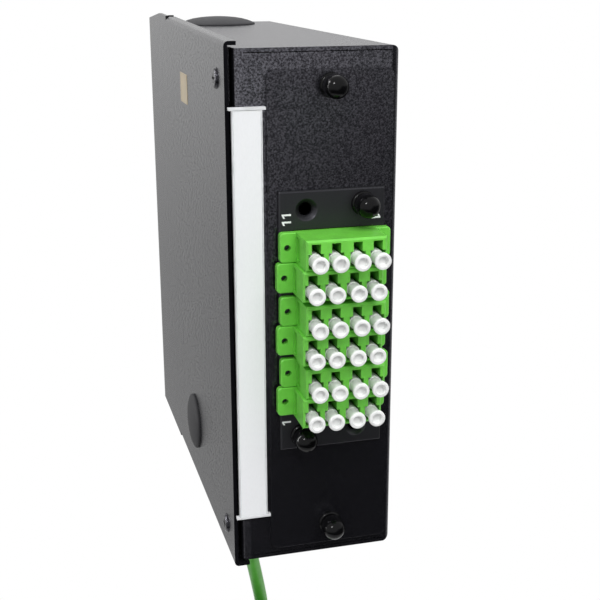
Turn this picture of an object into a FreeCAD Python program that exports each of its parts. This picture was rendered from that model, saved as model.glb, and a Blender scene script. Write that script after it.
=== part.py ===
import FreeCAD, Part
import math
import os
from FreeCAD import Vector

# A steel fibre box that clips on a 35 mm rail. Millimetres, +Z up, front towards -Y.
# The origin is on the rail's front face, at the rail's centre line.

# Housing
HOUSING_WIDTH = 52.0
HOUSING_HEIGHT = 164.0
HOUSING_DEPTH = 155.0
SHEET = 1.2
BEND_RADIUS = 2.8
SEAM = 0.25
FRONT_RETURN = 18.0
EDGE_RETURN = 11.0
FOLD_INSET = 1.25
FOLD_DEPTH = 6.0
RAIL_STAND_OFF = 12.0

# Side cover
COVER_GAP = 0.05
COVER_SETBACK = 1.9
COVER_OVERHANG = 3.0
LIP_WIDTH = 3.7
LOW_LIP_WIDTH = 5.0
LIP_GAP = 0.75
LIP_DROP = 1.1
LIP_REAR_GAP = 46.0
LIP_RISE = 2.3
COVER_BEND = 1.5
EAR_RISE = 0.35
EAR_RUN = 29.0
EAR_DROP = 2.8
EAR_FOLD = 2.4
EAR_FOLD_GAP = 3.0
COVER_SCREW_INSET = 14.0
COVER_SCREW_EDGE = 9.5
COVER_SCREW_LOW_EDGE = 6.8

# Screws
SCREW_RADIUS = 1.5
SCREW_HEAD_RADIUS = 3.2
SCREW_HEAD = 0.9
SCREW_REACH = 4.0
SCREW_CLEARANCE = 0.1
SCREW_DOME = 0.02
RECESS_WIDTH = 0.7
RECESS_LENGTH = 3.0
RECESS_DEPTH = 0.6

# Blanking plugs and the sticker on the side
TOP_PLUG_RISE = 3.1
SIDE_PLUG_RISE = 2.6
PLUG_RIM = 0.5
PLUG_BARREL = 7.0
PLUG_WALL = 1.5
PLUG_CLEARANCE = 0.1
TOP_PLUG_RADIUS = 15.1
TOP_HOLE_RADIUS = 13.0
TOP_PLUG_INSET = 17.0
TOP_PLUG_SHIFT = 2.3
SIDE_PLUG_RADIUS = 10.4
SIDE_HOLE_RADIUS = 8.2
SIDE_PLUG_INSET = 72.3
SIDE_PLUG_RAISE = 20.0
STICKER_LENGTH = 13.5
STICKER_HEIGHT = 10.2
STICKER_THICK = 0.15
STICKER_INSET = 74.0
STICKER_DROP = 18.5

# Four-port adapters
PORT_PITCH = 6.15
PORT_MIDDLE = 6.6
PORT_WIDTH = 4.7
PORT_HEIGHT = 4.6
PORT_WALL = 0.65
PORT_FLOOR = 0.65
KEY_WIDTH = 2.8
KEY_HEIGHT = 2.9
PORT_DEPTH = 12.0
SLEEVE_WALL = 4.5
BODY_HEIGHT = 9.25
BODY_FRONT = 11.6
BODY_EDGE = 0.6
REAR_PORT_DEPTH = 10.0
FLANGE = 2.2
FLANGE_EAR = 5.0
FLANGE_EDGE = 0.3
FLANGE_OVERHANG = 0.8
FLANGE_CORNER = 1.2
FLANGE_HOLE_RADIUS = 1.0
FLANGE_HOLE_INSET = 2.3
ROW_GAP = 0.1
PAIR_GAP = 1.25
PAIRS = 3
ROW_SHIFT = 0.5
STACK_RAISE = 0.35
SIDE_SLOT = 3.6
SIDE_SLOT_DEPTH = 0.6
SIDE_SLOT_GAP = 0.7
SIDE_SLOT_END = 1.1
SLEEVE_RADIUS = 0.8
SLEEVE_BORE = 0.65
SLEEVE_CLEARANCE = 0.05

# Dust caps
CAP_HEAD_RADIUS = 2.56
CAP_HEAD = 1.3
CAP_TAPER = 0.9
CAP_NECK_RADIUS = 1.9
CAP_NECK_SINK = 1.0
CAP_REACH = 5.1
CAP_DEPTH = 8.0
CAP_BORE_RADIUS = 1.45
CAP_BORE_DEPTH = 1.4
CAP_EDGE = 0.35
CAP_STEM_CLEARANCE = 0.15

# Adapter panel and front plate
PANEL_SHEET = 1.5
PANEL_END = 12.4
PANEL_EDGE = 0.4
PANEL_DROP = 1.3
PANEL_PLUNGER_X = 9.7
PANEL_PLUNGER_EDGE = 4.7
PANEL_HOLE_X = 8.1
PANEL_HOLE_EDGE = 5.85
PANEL_HOLE_RADIUS = 2.0
PANEL_SINK_RADIUS = 3.4
CUTOUT_CLEARANCE = 0.2
PLATE_SHEET = 1.5
PLATE_SIDE = 2.95
PLATE_CORNER = 2.7
PLATE_RIGHT_MARGIN = 2.3
PLATE_TOP_MARGIN = 6.25
PLATE_BOTTOM_MARGIN = 3.65
PLATE_PLUNGER_EDGE = 11.0
OPENING_CLEARANCE = 1.0
ACCESS_SIDE = 2.0
ACCESS_END = 24.0

# Push-pull fasteners
GROMMET_FLANGE_RADIUS = 3.7
GROMMET_FLANGE = 1.2
GROMMET_EDGE = 0.5
GROMMET_RADIUS = 2.5
GROMMET_REACH = 5.0
GROMMET_SLOT = 0.7
GROMMET_CLEARANCE = 0.1
PIN_RADIUS = 1.3
PIN_CLEARANCE = 0.08
PIN_TIP = 0.6
KNOB_RADIUS = 3.6
KNOB_HEIGHT = 7.2
KNOB_STRAIGHT = 3.0
KNOB_NECK = 2.7
KNOB_BULGE = 1.4
KNOB_GAP = 0.2

# Label
LABEL_TOP_MARGIN = 16.6
LABEL_BOTTOM_MARGIN = 15.6
HOLDER_THICK = 1.6
HOLDER_INSET = 0.1
HOLDER_PLATE_GAP = 1.3
HOLDER_TAB = 0.9
TAB_OVERHANG = 0.9
TAB_PLATE_GAP = 0.2
HOLDER_RIM = 0.4
LABEL_RECESS = 0.5
LABEL_THICK = 0.3
LABEL_CLEARANCE = 0.05

# Plugs and pigtails behind the adapters
NOSE_CLEARANCE = 0.2
NOSE_LENGTH = 9.0
FERRULE_RADIUS = 0.62
FERRULE_LENGTH = 1.5
PLUG_BODY_LENGTH = 9.0
PLUG_BODY_WIDTH = 4.9
PLUG_BODY_HEIGHT = 6.2
PLUG_FACE_GAP = 0.3
BOOT_LENGTH = 11.0
BOOT_RADIUS = 1.7
BOOT_TIP_RADIUS = 1.0
PIGTAIL_RADIUS = 0.45
PIGTAIL_SPACING = 1.05
PIGTAIL_RUN = 26.0
PIGTAIL_STRAIGHT = 6.0
PIGTAIL_LOOP_GAP = 0.2
PIGTAIL_CLEARANCE = 0.3

# Splice tray
TRAY_THICK = 9.6
TRAY_WALL = 1.5
TRAY_WALL_GAP = 0.3
TRAY_REAR_ROOM = 27.0
TRAY_END_ROOM = 26.0
TRAY_CORNER = 6.0
LID_THICK = 1.1
LID_GAP = 0.1
STUD_RADIUS = 1.5
STUD_REACH = 4.5
STUD_CLEARANCE = 0.1
STUD_INSET = 5.5
LOOP_MARGIN = 3.0
LOOP_STUD_GAP = 0.5
LOOP_BAND = 6.0
LOOP_THICK = 3.0
LOOP_CORNER = 22.0
LOOP_STRAIGHT = 2.0
SPLICE_RADIUS = 1.2
SPLICE_LENGTH = 40.0
SPLICE_PITCH = 2.9
SPLICE_CLEARANCE = 0.1
SPLICES_IN_LAYER = 12
HOLDER_LENGTH = 24.0
HOLDER_BASE = 1.0
HOLDER_LOOP_GAP = 1.0

# Cable and its gland
CABLE_RADIUS = 3.0
CABLE_CLEARANCE = 0.05
GLAND_INSET = 48.0
GLAND_THREAD_RADIUS = 7.9
GLAND_CLEARANCE = 0.15
GLAND_BORE_RADIUS = 4.6
GLAND_COLLAR = 5.0
GLAND_COLLAR_RADIUS = 11.5
GLAND_INSIDE = 7.0
GLAND_NECK = 8.0
GLAND_NECK_RADIUS = 7.0
GLAND_CAP_RADIUS = 9.6
GLAND_CAP_TIP = 5.5
GLAND_CAP_LENGTH = 15.0
GLAND_CAP_GAP = 0.3
GLAND_CAP_BULGE = 0.7
GLAND_CAP_EXIT = 0.4
LOCKNUT = 4.0
LOCKNUT_RADIUS = 12.4
SEAL_LENGTH = 9.0
BREAKOUT_RADIUS = 4.2
BREAKOUT_LENGTH = 26.0
BREAKOUT_GRIP = 10.0
BREAKOUT_DROP = 3.5
BREAKOUT_TIP_WALL = 1.0
BUFFER_RADIUS = 1.4
BUFFER_CLEARANCE = 0.2
BUFFER_RISE = 15.5

# Put-away end of the cable
COIL_RADIUS = 30.0
COIL_LAYERS = 2
COIL_ROWS = 3
COIL_DROP = 107.5
COIL_X = 6.9
TAIL_ACROSS = 12.0
TAIL_GAP = 0.5
END_INSET = 1.2
TIE_THICK = 1.2
TIE_WIDTH = 4.0
TIE_GAP = 0.3
PULL_CAP_RADIUS = 4.4
PULL_CAP_LENGTH = 26.0
PULL_CAP_EDGE = 0.8
PULL_CAP_NOSE = 3.0
PULL_CAP_NOSE_STEP = 2.0
PULL_CAP_EYE = 9.0
PULL_CAP_EYE_THICK = 3.0
PULL_CAP_EYE_RADIUS = 1.6

# Rail clip
RAIL_HEIGHT = 35.0
RAIL_SHEET = 1.0
RAIL_CLEARANCE = 0.3
CLIP_WIDTH = 36.0
CLIP_BELOW = 8.5
HOOK_ABOVE = 7.0
HOOK_BEHIND = 2.6
HOOK_OVERLAP = 3.0
HOOK_RELIEF = 0.4
FOOT_WIDTH = 16.0
FOOT_THICK = 4.8
FOOT_CLEARANCE = 0.2
FOOT_REAR_WALL = 2.0
FOOT_OVERLAP = 2.5
FOOT_TOOTH = 6.7
FOOT_INSIDE = 6.0
FOOT_TAB = 14.0
FOOT_TRAVEL = 4.0
FOOT_SLOT_WIDTH = 8.0
FOOT_SLOT_HEIGHT = 3.0
FOOT_SLOT_EDGE = 3.0
SPRING_ROOM = 8.0
SPRING_RADIUS = 1.7
SPRING_WIRE = 0.3
SPRING_TURNS = 5
SPRING_GAP = 0.1
CLIP_SCREW_RADIUS = 2.0
CLIP_SCREW_HEAD_RADIUS = 3.8
CLIP_SCREW_REACH = 8.0
CLIP_SCREW_X = 13.0
CLIP_SCREW_Z = 8.0

# How far a cutting shape passes the face that it cuts
PAST = 1.0

# Planes that the pieces share
LEFT = -HOUSING_WIDTH / 2
RIGHT = HOUSING_WIDTH / 2
TOP = HOUSING_HEIGHT / 2
BOTTOM = -HOUSING_HEIGHT / 2
BACK = -RAIL_STAND_OFF
FRONT = BACK - HOUSING_DEPTH
COVER_OUT = LEFT - COVER_GAP - SHEET
COVER_FRONT = FRONT + COVER_SETBACK
COVER_REAR = BACK + COVER_OVERHANG
LIP_OUT = TOP + LIP_GAP + SHEET
LIP_REAR = COVER_REAR - LIP_REAR_GAP
PLATE_FRONT = FRONT - PLATE_SHEET
PANEL_FRONT = PLATE_FRONT - PANEL_SHEET
FLANGE_FRONT = PANEL_FRONT - FLANGE
PORT_FACE = FLANGE_FRONT - BODY_FRONT
PORT_END = PORT_FACE + PORT_DEPTH
REAR_PORT_END = PORT_END + SLEEVE_WALL
BODY_BACK = REAR_PORT_END + REAR_PORT_DEPTH
PLUG_BACK = BODY_BACK + PLUG_FACE_GAP + PLUG_BODY_LENGTH + BOOT_LENGTH
TRAY_FRONT = PLUG_BACK + PIGTAIL_RUN
TRAY_REAR = BACK - SHEET - TRAY_REAR_ROOM
TRAY_OUT = RIGHT - SHEET - TRAY_WALL_GAP
TRAY_IN = TRAY_OUT - TRAY_THICK
TRAY_END = TOP - TRAY_END_ROOM

# Sizes that follow from the driving ones
PORTS_X = [
    -PORT_MIDDLE / 2 - PORT_PITCH,
    -PORT_MIDDLE / 2,
    PORT_MIDDLE / 2,
    PORT_MIDDLE / 2 + PORT_PITCH,
]
BODY_WIDTH = 2 * PORTS_X[-1] + PORT_WIDTH + 2 * PORT_WALL
FLANGE_WIDTH = BODY_WIDTH + 2 * FLANGE_EAR
ROW_PITCH = BODY_HEIGHT + ROW_GAP
PAIR_PITCH = 2 * ROW_PITCH + PAIR_GAP
STACK_HEIGHT = (PAIRS - 1) * PAIR_PITCH + ROW_PITCH + BODY_HEIGHT
PORT_Z = PORT_FLOOR + PORT_HEIGHT / 2 - BODY_HEIGHT / 2
PANEL_WIDTH = FLANGE_WIDTH - 2 * FLANGE_OVERHANG
PANEL_HEIGHT = STACK_HEIGHT + 2 * PANEL_END
PLATE_WIDTH = PANEL_WIDTH + 2 * PLATE_SIDE
PLATE_RIGHT = RIGHT - PLATE_RIGHT_MARGIN
PLATE_LEFT = PLATE_RIGHT - PLATE_WIDTH
AXIS_X = (PLATE_LEFT + PLATE_RIGHT) / 2
PANEL_Z = -PANEL_DROP
STACK_Z = PANEL_Z + STACK_RAISE
OPENING_WIDTH = BODY_WIDTH + 2 * ROW_SHIFT + 2 * OPENING_CLEARANCE
OPENING_HEIGHT = STACK_HEIGHT + 2 * OPENING_CLEARANCE
PLATE_PLUNGER_Z = TOP - PLATE_PLUNGER_EDGE
PANEL_PLUNGER_Z = PANEL_HEIGHT / 2 - PANEL_PLUNGER_EDGE
PANEL_HOLE_Z = PANEL_HEIGHT / 2 - PANEL_HOLE_EDGE
TOP_PLUG_Y = BACK - TOP_PLUG_INSET
GLAND_Y = BACK - GLAND_INSET
COVER_SCREW_Y = FRONT + COVER_SCREW_INSET
COVER_SCREWS_Z = (BOTTOM + COVER_SCREW_LOW_EDGE, TOP - COVER_SCREW_EDGE)
CABLE_EXIT = BOTTOM - GLAND_COLLAR - GLAND_CAP_GAP - GLAND_CAP_LENGTH
BREAKOUT_TOP = TRAY_END - BREAKOUT_DROP
TRAY_MIDDLE_X = TRAY_OUT - TRAY_THICK / 2
COIL_Y = GLAND_Y
COIL_Z = CABLE_EXIT - COIL_DROP
COIL_HALF = COIL_ROWS * CABLE_RADIUS
COIL_OUT = COIL_RADIUS + COIL_LAYERS * CABLE_RADIUS
COIL_IN = COIL_RADIUS - COIL_LAYERS * CABLE_RADIUS
PULL_CAP_X = COIL_X - COIL_HALF - PULL_CAP_RADIUS - TIE_THICK
END_X = COIL_X - COIL_HALF + END_INSET
TAIL_BACK = COIL_RADIUS - TAIL_GAP
TAIL_DROP = COIL_DROP - TAIL_GAP

# Route of the hanging cable: below the gland, the photographed bend, then the coil.
# Each point is a share of the way across, back and down to the coil's rear.
TAIL_SHARES = [
    (0.0, 0.0, 0.0),
    (0.0, 0.0, 0.178),
    (0.13, 0.254, 0.383),
    (0.575, 0.525, 0.598),
    (0.875, 0.8, 0.804),
    (1.0, 1.0, 1.0),
]
TAIL_ROUTE = [
    Vector(TAIL_ACROSS * across, GLAND_Y + TAIL_BACK * back, CABLE_EXIT - TAIL_DROP * down)
    for across, back, down in TAIL_SHARES
]

# Route of the cable's end: off the top of the coil, down its side to the pulling cap.
# Each point is a share of the way across to the cap, and of the coil's radius back and up.
END_SHARES = [
    (0.0, -0.333, 0.963),
    (0.265, 0.148, 1.019),
    (0.559, 0.63, 0.833),
    (0.912, 0.926, 0.407),
    (1.0, 1.0, -0.074),
]
END_ROUTE = [
    Vector(END_X + (PULL_CAP_X - END_X) * across, COIL_Y + COIL_RADIUS * back, COIL_Z + COIL_RADIUS * up)
    for across, back, up in END_SHARES
]

# Route of the fibre tube over the splice tray's top edge
BUFFER_ROUTE = [
    Vector(0.0, GLAND_Y, BREAKOUT_TOP),
    Vector(0.0, GLAND_Y, TRAY_END + BUFFER_RISE),
    Vector(TRAY_MIDDLE_X, GLAND_Y, TRAY_END + BUFFER_RISE),
    Vector(TRAY_MIDDLE_X, GLAND_Y, TRAY_END - BREAKOUT_DROP),
]


def block(x, y, z):
    """A box between two limits on each axis."""
    return Part.makeBox(x[1] - x[0], y[1] - y[0], z[1] - z[0], Vector(x[0], y[0], z[0]))


def about(middle, size):
    """The two limits of a size that is centred on a place."""
    return (middle - size / 2, middle + size / 2)


def placed(axis, u, v, w):
    """A point with two coordinates across an axis and one along it."""
    return {"X": Vector(w, u, v), "Y": Vector(u, w, v), "Z": Vector(u, v, w)}[axis]


def rounded_prism(axis, first, second, along, radius):
    """A rectangle with round corners, drawn across an axis and extruded along it."""
    u0, u1 = first
    v0, v1 = second
    quarter = radius * (1 - math.sqrt(0.5))
    corners = [
        ((u0, v0 + radius), (u0 + quarter, v0 + quarter), (u0 + radius, v0)),
        ((u1 - radius, v0), (u1 - quarter, v0 + quarter), (u1, v0 + radius)),
        ((u1, v1 - radius), (u1 - quarter, v1 - quarter), (u1 - radius, v1)),
        ((u0 + radius, v1), (u0 + quarter, v1 - quarter), (u0, v1 - radius)),
    ]
    points = [[placed(axis, u, v, along[0]) for u, v in corner] for corner in corners]
    edges = []
    for index, corner in enumerate(points):
        following = points[(index + 1) % len(points)]
        edges.append(Part.Arc(*corner).toShape())
        edges.append(Part.LineSegment(corner[2], following[0]).toShape())
    face = Part.Face(Part.Wire(edges))
    return face.extrude(placed(axis, 0, 0, along[1] - along[0]))


def rod(radius, start, end):
    """A round bar from one point to another."""
    run = end - start
    return Part.makeCylinder(radius, run.Length, start, run)


def turned(profile, base, direction):
    """A turned piece. The profile lists (radius, height) points, and arcs as (middle point, end point)."""
    edges = []
    here = Vector(profile[0][0], 0, profile[0][1])
    for step in profile[1:] + profile[:1]:
        if isinstance(step[0], tuple):
            middle = Vector(step[0][0], 0, step[0][1])
            there = Vector(step[1][0], 0, step[1][1])
            edges.append(Part.Arc(here, middle, there).toShape())
        else:
            there = Vector(step[0], 0, step[1])
            edges.append(Part.LineSegment(here, there).toShape())
        here = there
    face = Part.Face(Part.Wire(edges))
    solid = face.revolve(Vector(0, 0, 0), Vector(0, 0, 1), 360)
    solid.Placement = FreeCAD.Placement(base, FreeCAD.Rotation(Vector(0, 0, 1), direction))
    return solid


def hexagon(radius, base, height):
    """An upright hexagonal bar, its radius measured to the corners."""
    turns = [math.radians(60 * step) for step in range(7)]
    corners = [base + Vector(radius * math.cos(a), radius * math.sin(a), 0) for a in turns]
    return Part.Face(Part.makePolygon(corners)).extrude(Vector(0, 0, height))


def joined(first, *others):
    """One solid made of several that touch."""
    return first.multiFuse(list(others)).removeSplitter()


def group(solids):
    """Separate solids kept as one item."""
    return Part.makeCompound(solids)


def cord_path(points):
    """Straight runs joined by the largest tangent arcs, with the arcs' radii."""
    edges = []
    radii = []
    here = points[0]
    for before, corner, after in zip(points, points[1:], points[2:]):
        back = before - corner
        ahead = after - corner
        turn = math.pi - back.getAngle(ahead)
        reach = 0.45 * min(back.Length, ahead.Length)
        radii.append(reach / math.tan(turn / 2))
        back.normalize()
        ahead.normalize()
        start = corner + back * reach
        end = corner + ahead * reach
        inward = back + ahead
        inward.normalize()
        middle = corner + inward * (radii[-1] / math.cos(turn / 2) - radii[-1])
        edges.append(Part.LineSegment(here, start).toShape())
        edges.append(Part.Arc(start, middle, end).toShape())
        here = end
    edges.append(Part.LineSegment(here, points[-1]).toShape())
    return Part.Wire(edges), radii


def tube_along(name, points, radius):
    """A round cord along a route, with its bends and its volume printed."""
    path, radii = cord_path(points)
    ring = Part.Wire(Part.Circle(points[0], points[1] - points[0], radius).toShape())
    solid = path.makePipeShell([ring], True, False)
    expected = math.pi * radius**2 * path.Length
    bends = [round(value, 1) for value in radii]
    print(name, "length", round(path.Length, 1), "bends", bends, "volume", round(solid.Volume / expected, 4))
    return solid


def folded_box(left, inset, radius):
    """A block with the edges round that are folds and sharp where sheets meet."""
    x = (left + inset, RIGHT - inset)
    y = (FRONT + inset, BACK - inset)
    z = (BOTTOM + inset, TOP - inset)
    past_left = (x[0] - 2 * radius, x[1])
    return rounded_prism("Y", past_left, z, y, radius).common(rounded_prism("Z", x, y, z, radius))


def housing_block(inset, radius):
    """The housing's block, with its left side set in at the front, behind the cover's edge."""
    slim = folded_box(LEFT + FOLD_INSET, inset, radius)
    wide = folded_box(LEFT, inset, radius)
    front = block((2 * LEFT, 2 * RIGHT), (2 * FRONT, FRONT + FOLD_DEPTH + inset), (2 * BOTTOM, 2 * TOP))
    return joined(slim, wide.cut(front))


def seam_slits():
    """The open seams under the top wall and over the bottom one, in the front and the rear."""
    x = (LEFT + FOLD_INSET + BEND_RADIUS, RIGHT - BEND_RADIUS)
    slits = []
    for y in ((FRONT - PAST, FRONT + SHEET), (BACK - SHEET, BACK + PAST)):
        for z in (TOP - SHEET - SEAM, BOTTOM + SHEET):
            slits.append(block(x, y, (z, z + SEAM)))
    return slits


def housing():
    """Folded sheet body: right, top, bottom, rear and front walls with in-turned left edges."""
    shell = housing_block(0, BEND_RADIUS).cut(housing_block(SHEET, BEND_RADIUS - SHEET))
    window = block(
        (LEFT - SHEET, LEFT + 2 * SHEET),
        (FRONT + FRONT_RETURN, BACK - EDGE_RETURN),
        (BOTTOM + EDGE_RETURN, TOP - EDGE_RETURN),
    )
    access = block(
        about(AXIS_X, OPENING_WIDTH + 2 * ACCESS_SIDE),
        (FRONT - SHEET, FRONT + 2 * SHEET),
        (BOTTOM + ACCESS_END, TOP - ACCESS_END),
    )
    cuts = [window, access] + seam_slits()
    for z in (-PLATE_PLUNGER_Z, PLATE_PLUNGER_Z):
        hole = GROMMET_RADIUS + GROMMET_CLEARANCE
        cuts.append(rod(hole, Vector(AXIS_X, FRONT - SHEET, z), Vector(AXIS_X, FRONT + 2 * SHEET, z)))
    for z in COVER_SCREWS_Z:
        start = Vector(LEFT - SHEET, COVER_SCREW_Y, z)
        cuts.append(rod(SCREW_RADIUS + SCREW_CLEARANCE, start, start + Vector(3 * SHEET, 0, 0)))
    start = Vector(-TOP_PLUG_SHIFT, TOP_PLUG_Y, TOP - 2 * SHEET)
    cuts.append(rod(TOP_HOLE_RADIUS, start, start + Vector(0, 0, 3 * SHEET)))
    gland_hole = GLAND_THREAD_RADIUS + GLAND_CLEARANCE
    start = Vector(0, GLAND_Y, BOTTOM - SHEET)
    cuts.append(rod(gland_hole, start, start + Vector(0, 0, 3 * SHEET)))
    for x in (-CLIP_SCREW_X, CLIP_SCREW_X):
        start = Vector(x, BACK - 2 * SHEET, CLIP_SCREW_Z)
        cuts.append(rod(CLIP_SCREW_RADIUS + SCREW_CLEARANCE, start, start + Vector(0, 3 * SHEET, 0)))
    return shell.cut(cuts)


def cover_top(y):
    """Height of the side cover's top edge, which climbs towards the rear."""
    return LIP_OUT + LIP_RISE * (y - COVER_FRONT) / (LIP_REAR - COVER_FRONT)


def lip(outer_z, inward, width, rise):
    """A folded lip along the side cover, its outer face at a height and its sheet on the inward side."""
    corner = COVER_BEND * (1 - math.sqrt(0.5))
    y = COVER_FRONT
    outline = [
        Vector(COVER_OUT, y, outer_z + inward * COVER_BEND),
        Vector(COVER_OUT + corner, y, outer_z + inward * corner),
        Vector(COVER_OUT + COVER_BEND, y, outer_z),
        Vector(COVER_OUT + width, y, outer_z),
        Vector(COVER_OUT + width, y, outer_z + inward * SHEET),
        Vector(COVER_OUT + SHEET, y, outer_z + inward * SHEET),
        Vector(COVER_OUT + SHEET, y, outer_z + inward * COVER_BEND),
    ]
    edges = [Part.Arc(*outline[:3]).toShape()]
    edges += [Part.LineSegment(a, b).toShape() for a, b in zip(outline[2:], outline[3:] + outline[:1])]
    return Part.Face(Part.Wire(edges)).extrude(Vector(0, LIP_REAR - COVER_FRONT, rise))


def cover_sheet(low):
    """The side cover's flat sheet, between its lips and with a sloping rear corner."""
    under = LIP_OUT - COVER_BEND
    ear_top = cover_top(COVER_REAR - EAR_RUN) + EAR_RISE
    outline = [
        (COVER_FRONT, low + COVER_BEND),
        (LIP_REAR, low + COVER_BEND),
        (LIP_REAR, low),
        (COVER_REAR, low),
        (COVER_REAR, ear_top - EAR_DROP),
        (COVER_REAR - EAR_RUN, ear_top),
        (LIP_REAR, cover_top(LIP_REAR) + EAR_RISE),
        (LIP_REAR, under + LIP_RISE),
        (COVER_FRONT, under),
    ]
    corners = [Vector(COVER_OUT, y, z) for y, z in outline]
    return Part.Face(Part.makePolygon(corners + corners[:1])).extrude(Vector(SHEET, 0, 0))


def side_cover():
    """Left cover: a flat sheet with a lip above and below, and an ear with a small fold at the rear."""
    low = BOTTOM - LIP_GAP - LIP_DROP - SHEET
    fold_y = (LIP_REAR + EAR_FOLD_GAP, LIP_REAR + EAR_FOLD_GAP + SHEET)
    fold_z = (TOP + LIP_GAP, cover_top(fold_y[0]) + EAR_RISE)
    fold = block((COVER_OUT, COVER_OUT + SHEET + EAR_FOLD), fold_y, fold_z)
    lips = [lip(LIP_OUT, -1, LIP_WIDTH, LIP_RISE), lip(low, 1, LOW_LIP_WIDTH, 0)]
    cover = joined(cover_sheet(low), fold, *lips)
    cuts = []
    for z in COVER_SCREWS_Z:
        start = Vector(COVER_OUT - SHEET, COVER_SCREW_Y, z)
        cuts.append(rod(SCREW_RADIUS + SCREW_CLEARANCE, start, start + Vector(3 * SHEET, 0, 0)))
    start = Vector(COVER_OUT - SHEET, FRONT + SIDE_PLUG_INSET, BOTTOM + SIDE_PLUG_RAISE)
    cuts.append(rod(SIDE_HOLE_RADIUS, start, start + Vector(3 * SHEET, 0, 0)))
    return cover.cut(cuts)


def pan_screw(seat, direction, radius, head_radius, reach):
    """A pan-head screw with a cross recess. It points along the direction, its head on the seat."""
    dome = head_radius * 0.72
    profile = [
        (0.0, -SCREW_HEAD),
        (dome, SCREW_DOME - SCREW_HEAD),
        ((head_radius * 0.94, -0.62 * SCREW_HEAD), (head_radius, -0.12 * SCREW_HEAD)),
        (head_radius, 0.0),
        (radius, 0.0),
        (radius, reach),
        (0.0, reach),
    ]
    screw = turned(profile, Vector(0, 0, 0), Vector(0, 0, 1))
    deep = (-SCREW_HEAD - RECESS_DEPTH, RECESS_DEPTH - SCREW_HEAD)
    across = block(about(0, RECESS_LENGTH), about(0, RECESS_WIDTH), deep)
    along = block(about(0, RECESS_WIDTH), about(0, RECESS_LENGTH), deep)
    screw = screw.cut([across, along])
    screw.Placement = FreeCAD.Placement(seat, FreeCAD.Rotation(Vector(0, 0, 1), direction))
    return screw


def side_cover_screws():
    """The two screws that hold the side cover."""
    seats = [Vector(COVER_OUT, COVER_SCREW_Y, z) for z in COVER_SCREWS_Z]
    reach = 2 * SHEET + SCREW_REACH
    return group([pan_screw(seat, Vector(1, 0, 0), SCREW_RADIUS, SCREW_HEAD_RADIUS, reach) for seat in seats])


def blanking_plug(seat, outward, radius, hole_radius, rise):
    """A low domed plug with a hollow barrel that snaps into a hole."""
    barrel = hole_radius - PLUG_CLEARANCE
    profile = [
        (0.0, rise),
        ((radius * 0.6, PLUG_RIM + 0.7 * (rise - PLUG_RIM)), (radius, PLUG_RIM)),
        (radius, 0.0),
        (barrel, 0.0),
        (barrel, -PLUG_BARREL),
        (barrel - PLUG_WALL, -PLUG_BARREL),
        (barrel - PLUG_WALL, 0.0),
        (0.0, 0.0),
    ]
    return turned(profile, seat, outward)


def top_plug():
    """Blanking plug in the top wall."""
    seat = Vector(-TOP_PLUG_SHIFT, TOP_PLUG_Y, TOP)
    return blanking_plug(seat, Vector(0, 0, 1), TOP_PLUG_RADIUS, TOP_HOLE_RADIUS, TOP_PLUG_RISE)


def side_plug():
    """Blanking plug in the side cover."""
    seat = Vector(COVER_OUT, FRONT + SIDE_PLUG_INSET, BOTTOM + SIDE_PLUG_RAISE)
    return blanking_plug(seat, Vector(-1, 0, 0), SIDE_PLUG_RADIUS, SIDE_HOLE_RADIUS, SIDE_PLUG_RISE)


def side_sticker():
    """Blank sticker on the side cover."""
    y = about(FRONT + STICKER_INSET, STICKER_LENGTH)
    z = about(TOP - STICKER_DROP, STICKER_HEIGHT)
    return block((COVER_OUT - STICKER_THICK, COVER_OUT), y, z)


def panel_plungers():
    """Places of the panel's two fasteners: one up on the right, one down on the left."""
    return [
        (AXIS_X + PANEL_PLUNGER_X, PANEL_Z + PANEL_PLUNGER_Z),
        (AXIS_X - PANEL_PLUNGER_X, PANEL_Z - PANEL_PLUNGER_Z),
    ]


def panel_holes():
    """Places of the panel's two free holes: one up on the left, one down on the right."""
    return [
        (AXIS_X - PANEL_HOLE_X, PANEL_Z + PANEL_HOLE_Z),
        (AXIS_X + PANEL_HOLE_X, PANEL_Z - PANEL_HOLE_Z),
    ]


def front_plate():
    """Removable front plate with round corners, an opening behind the adapter panel and the panel's holes."""
    z = (BOTTOM + PLATE_BOTTOM_MARGIN, TOP - PLATE_TOP_MARGIN)
    plate = rounded_prism("Y", (PLATE_LEFT, PLATE_RIGHT), z, (PLATE_FRONT, FRONT), PLATE_CORNER)
    through = (PLATE_FRONT - PLATE_SHEET, FRONT + PLATE_SHEET)
    cuts = [block(about(AXIS_X, OPENING_WIDTH), through, about(STACK_Z, OPENING_HEIGHT))]
    fasteners_at = panel_plungers() + [(AXIS_X, PLATE_PLUNGER_Z), (AXIS_X, -PLATE_PLUNGER_Z)]
    holes = [(place, GROMMET_RADIUS + GROMMET_CLEARANCE) for place in fasteners_at]
    holes += [(place, PANEL_HOLE_RADIUS) for place in panel_holes()]
    for (x, at), radius in holes:
        cuts.append(rod(radius, Vector(x, through[0], at), Vector(x, through[1], at)))
    return plate.cut(cuts)


def adapter_rows():
    """Centres of the adapters, from the top row down; rows of a pair are shifted apart."""
    rows = []
    for pair in range(PAIRS):
        middle = STACK_Z + PAIR_PITCH * ((PAIRS - 1) / 2 - pair)
        rows.append(Vector(AXIS_X + ROW_SHIFT, 0, middle + ROW_PITCH / 2))
        rows.append(Vector(AXIS_X - ROW_SHIFT, 0, middle - ROW_PITCH / 2))
    return rows


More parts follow.
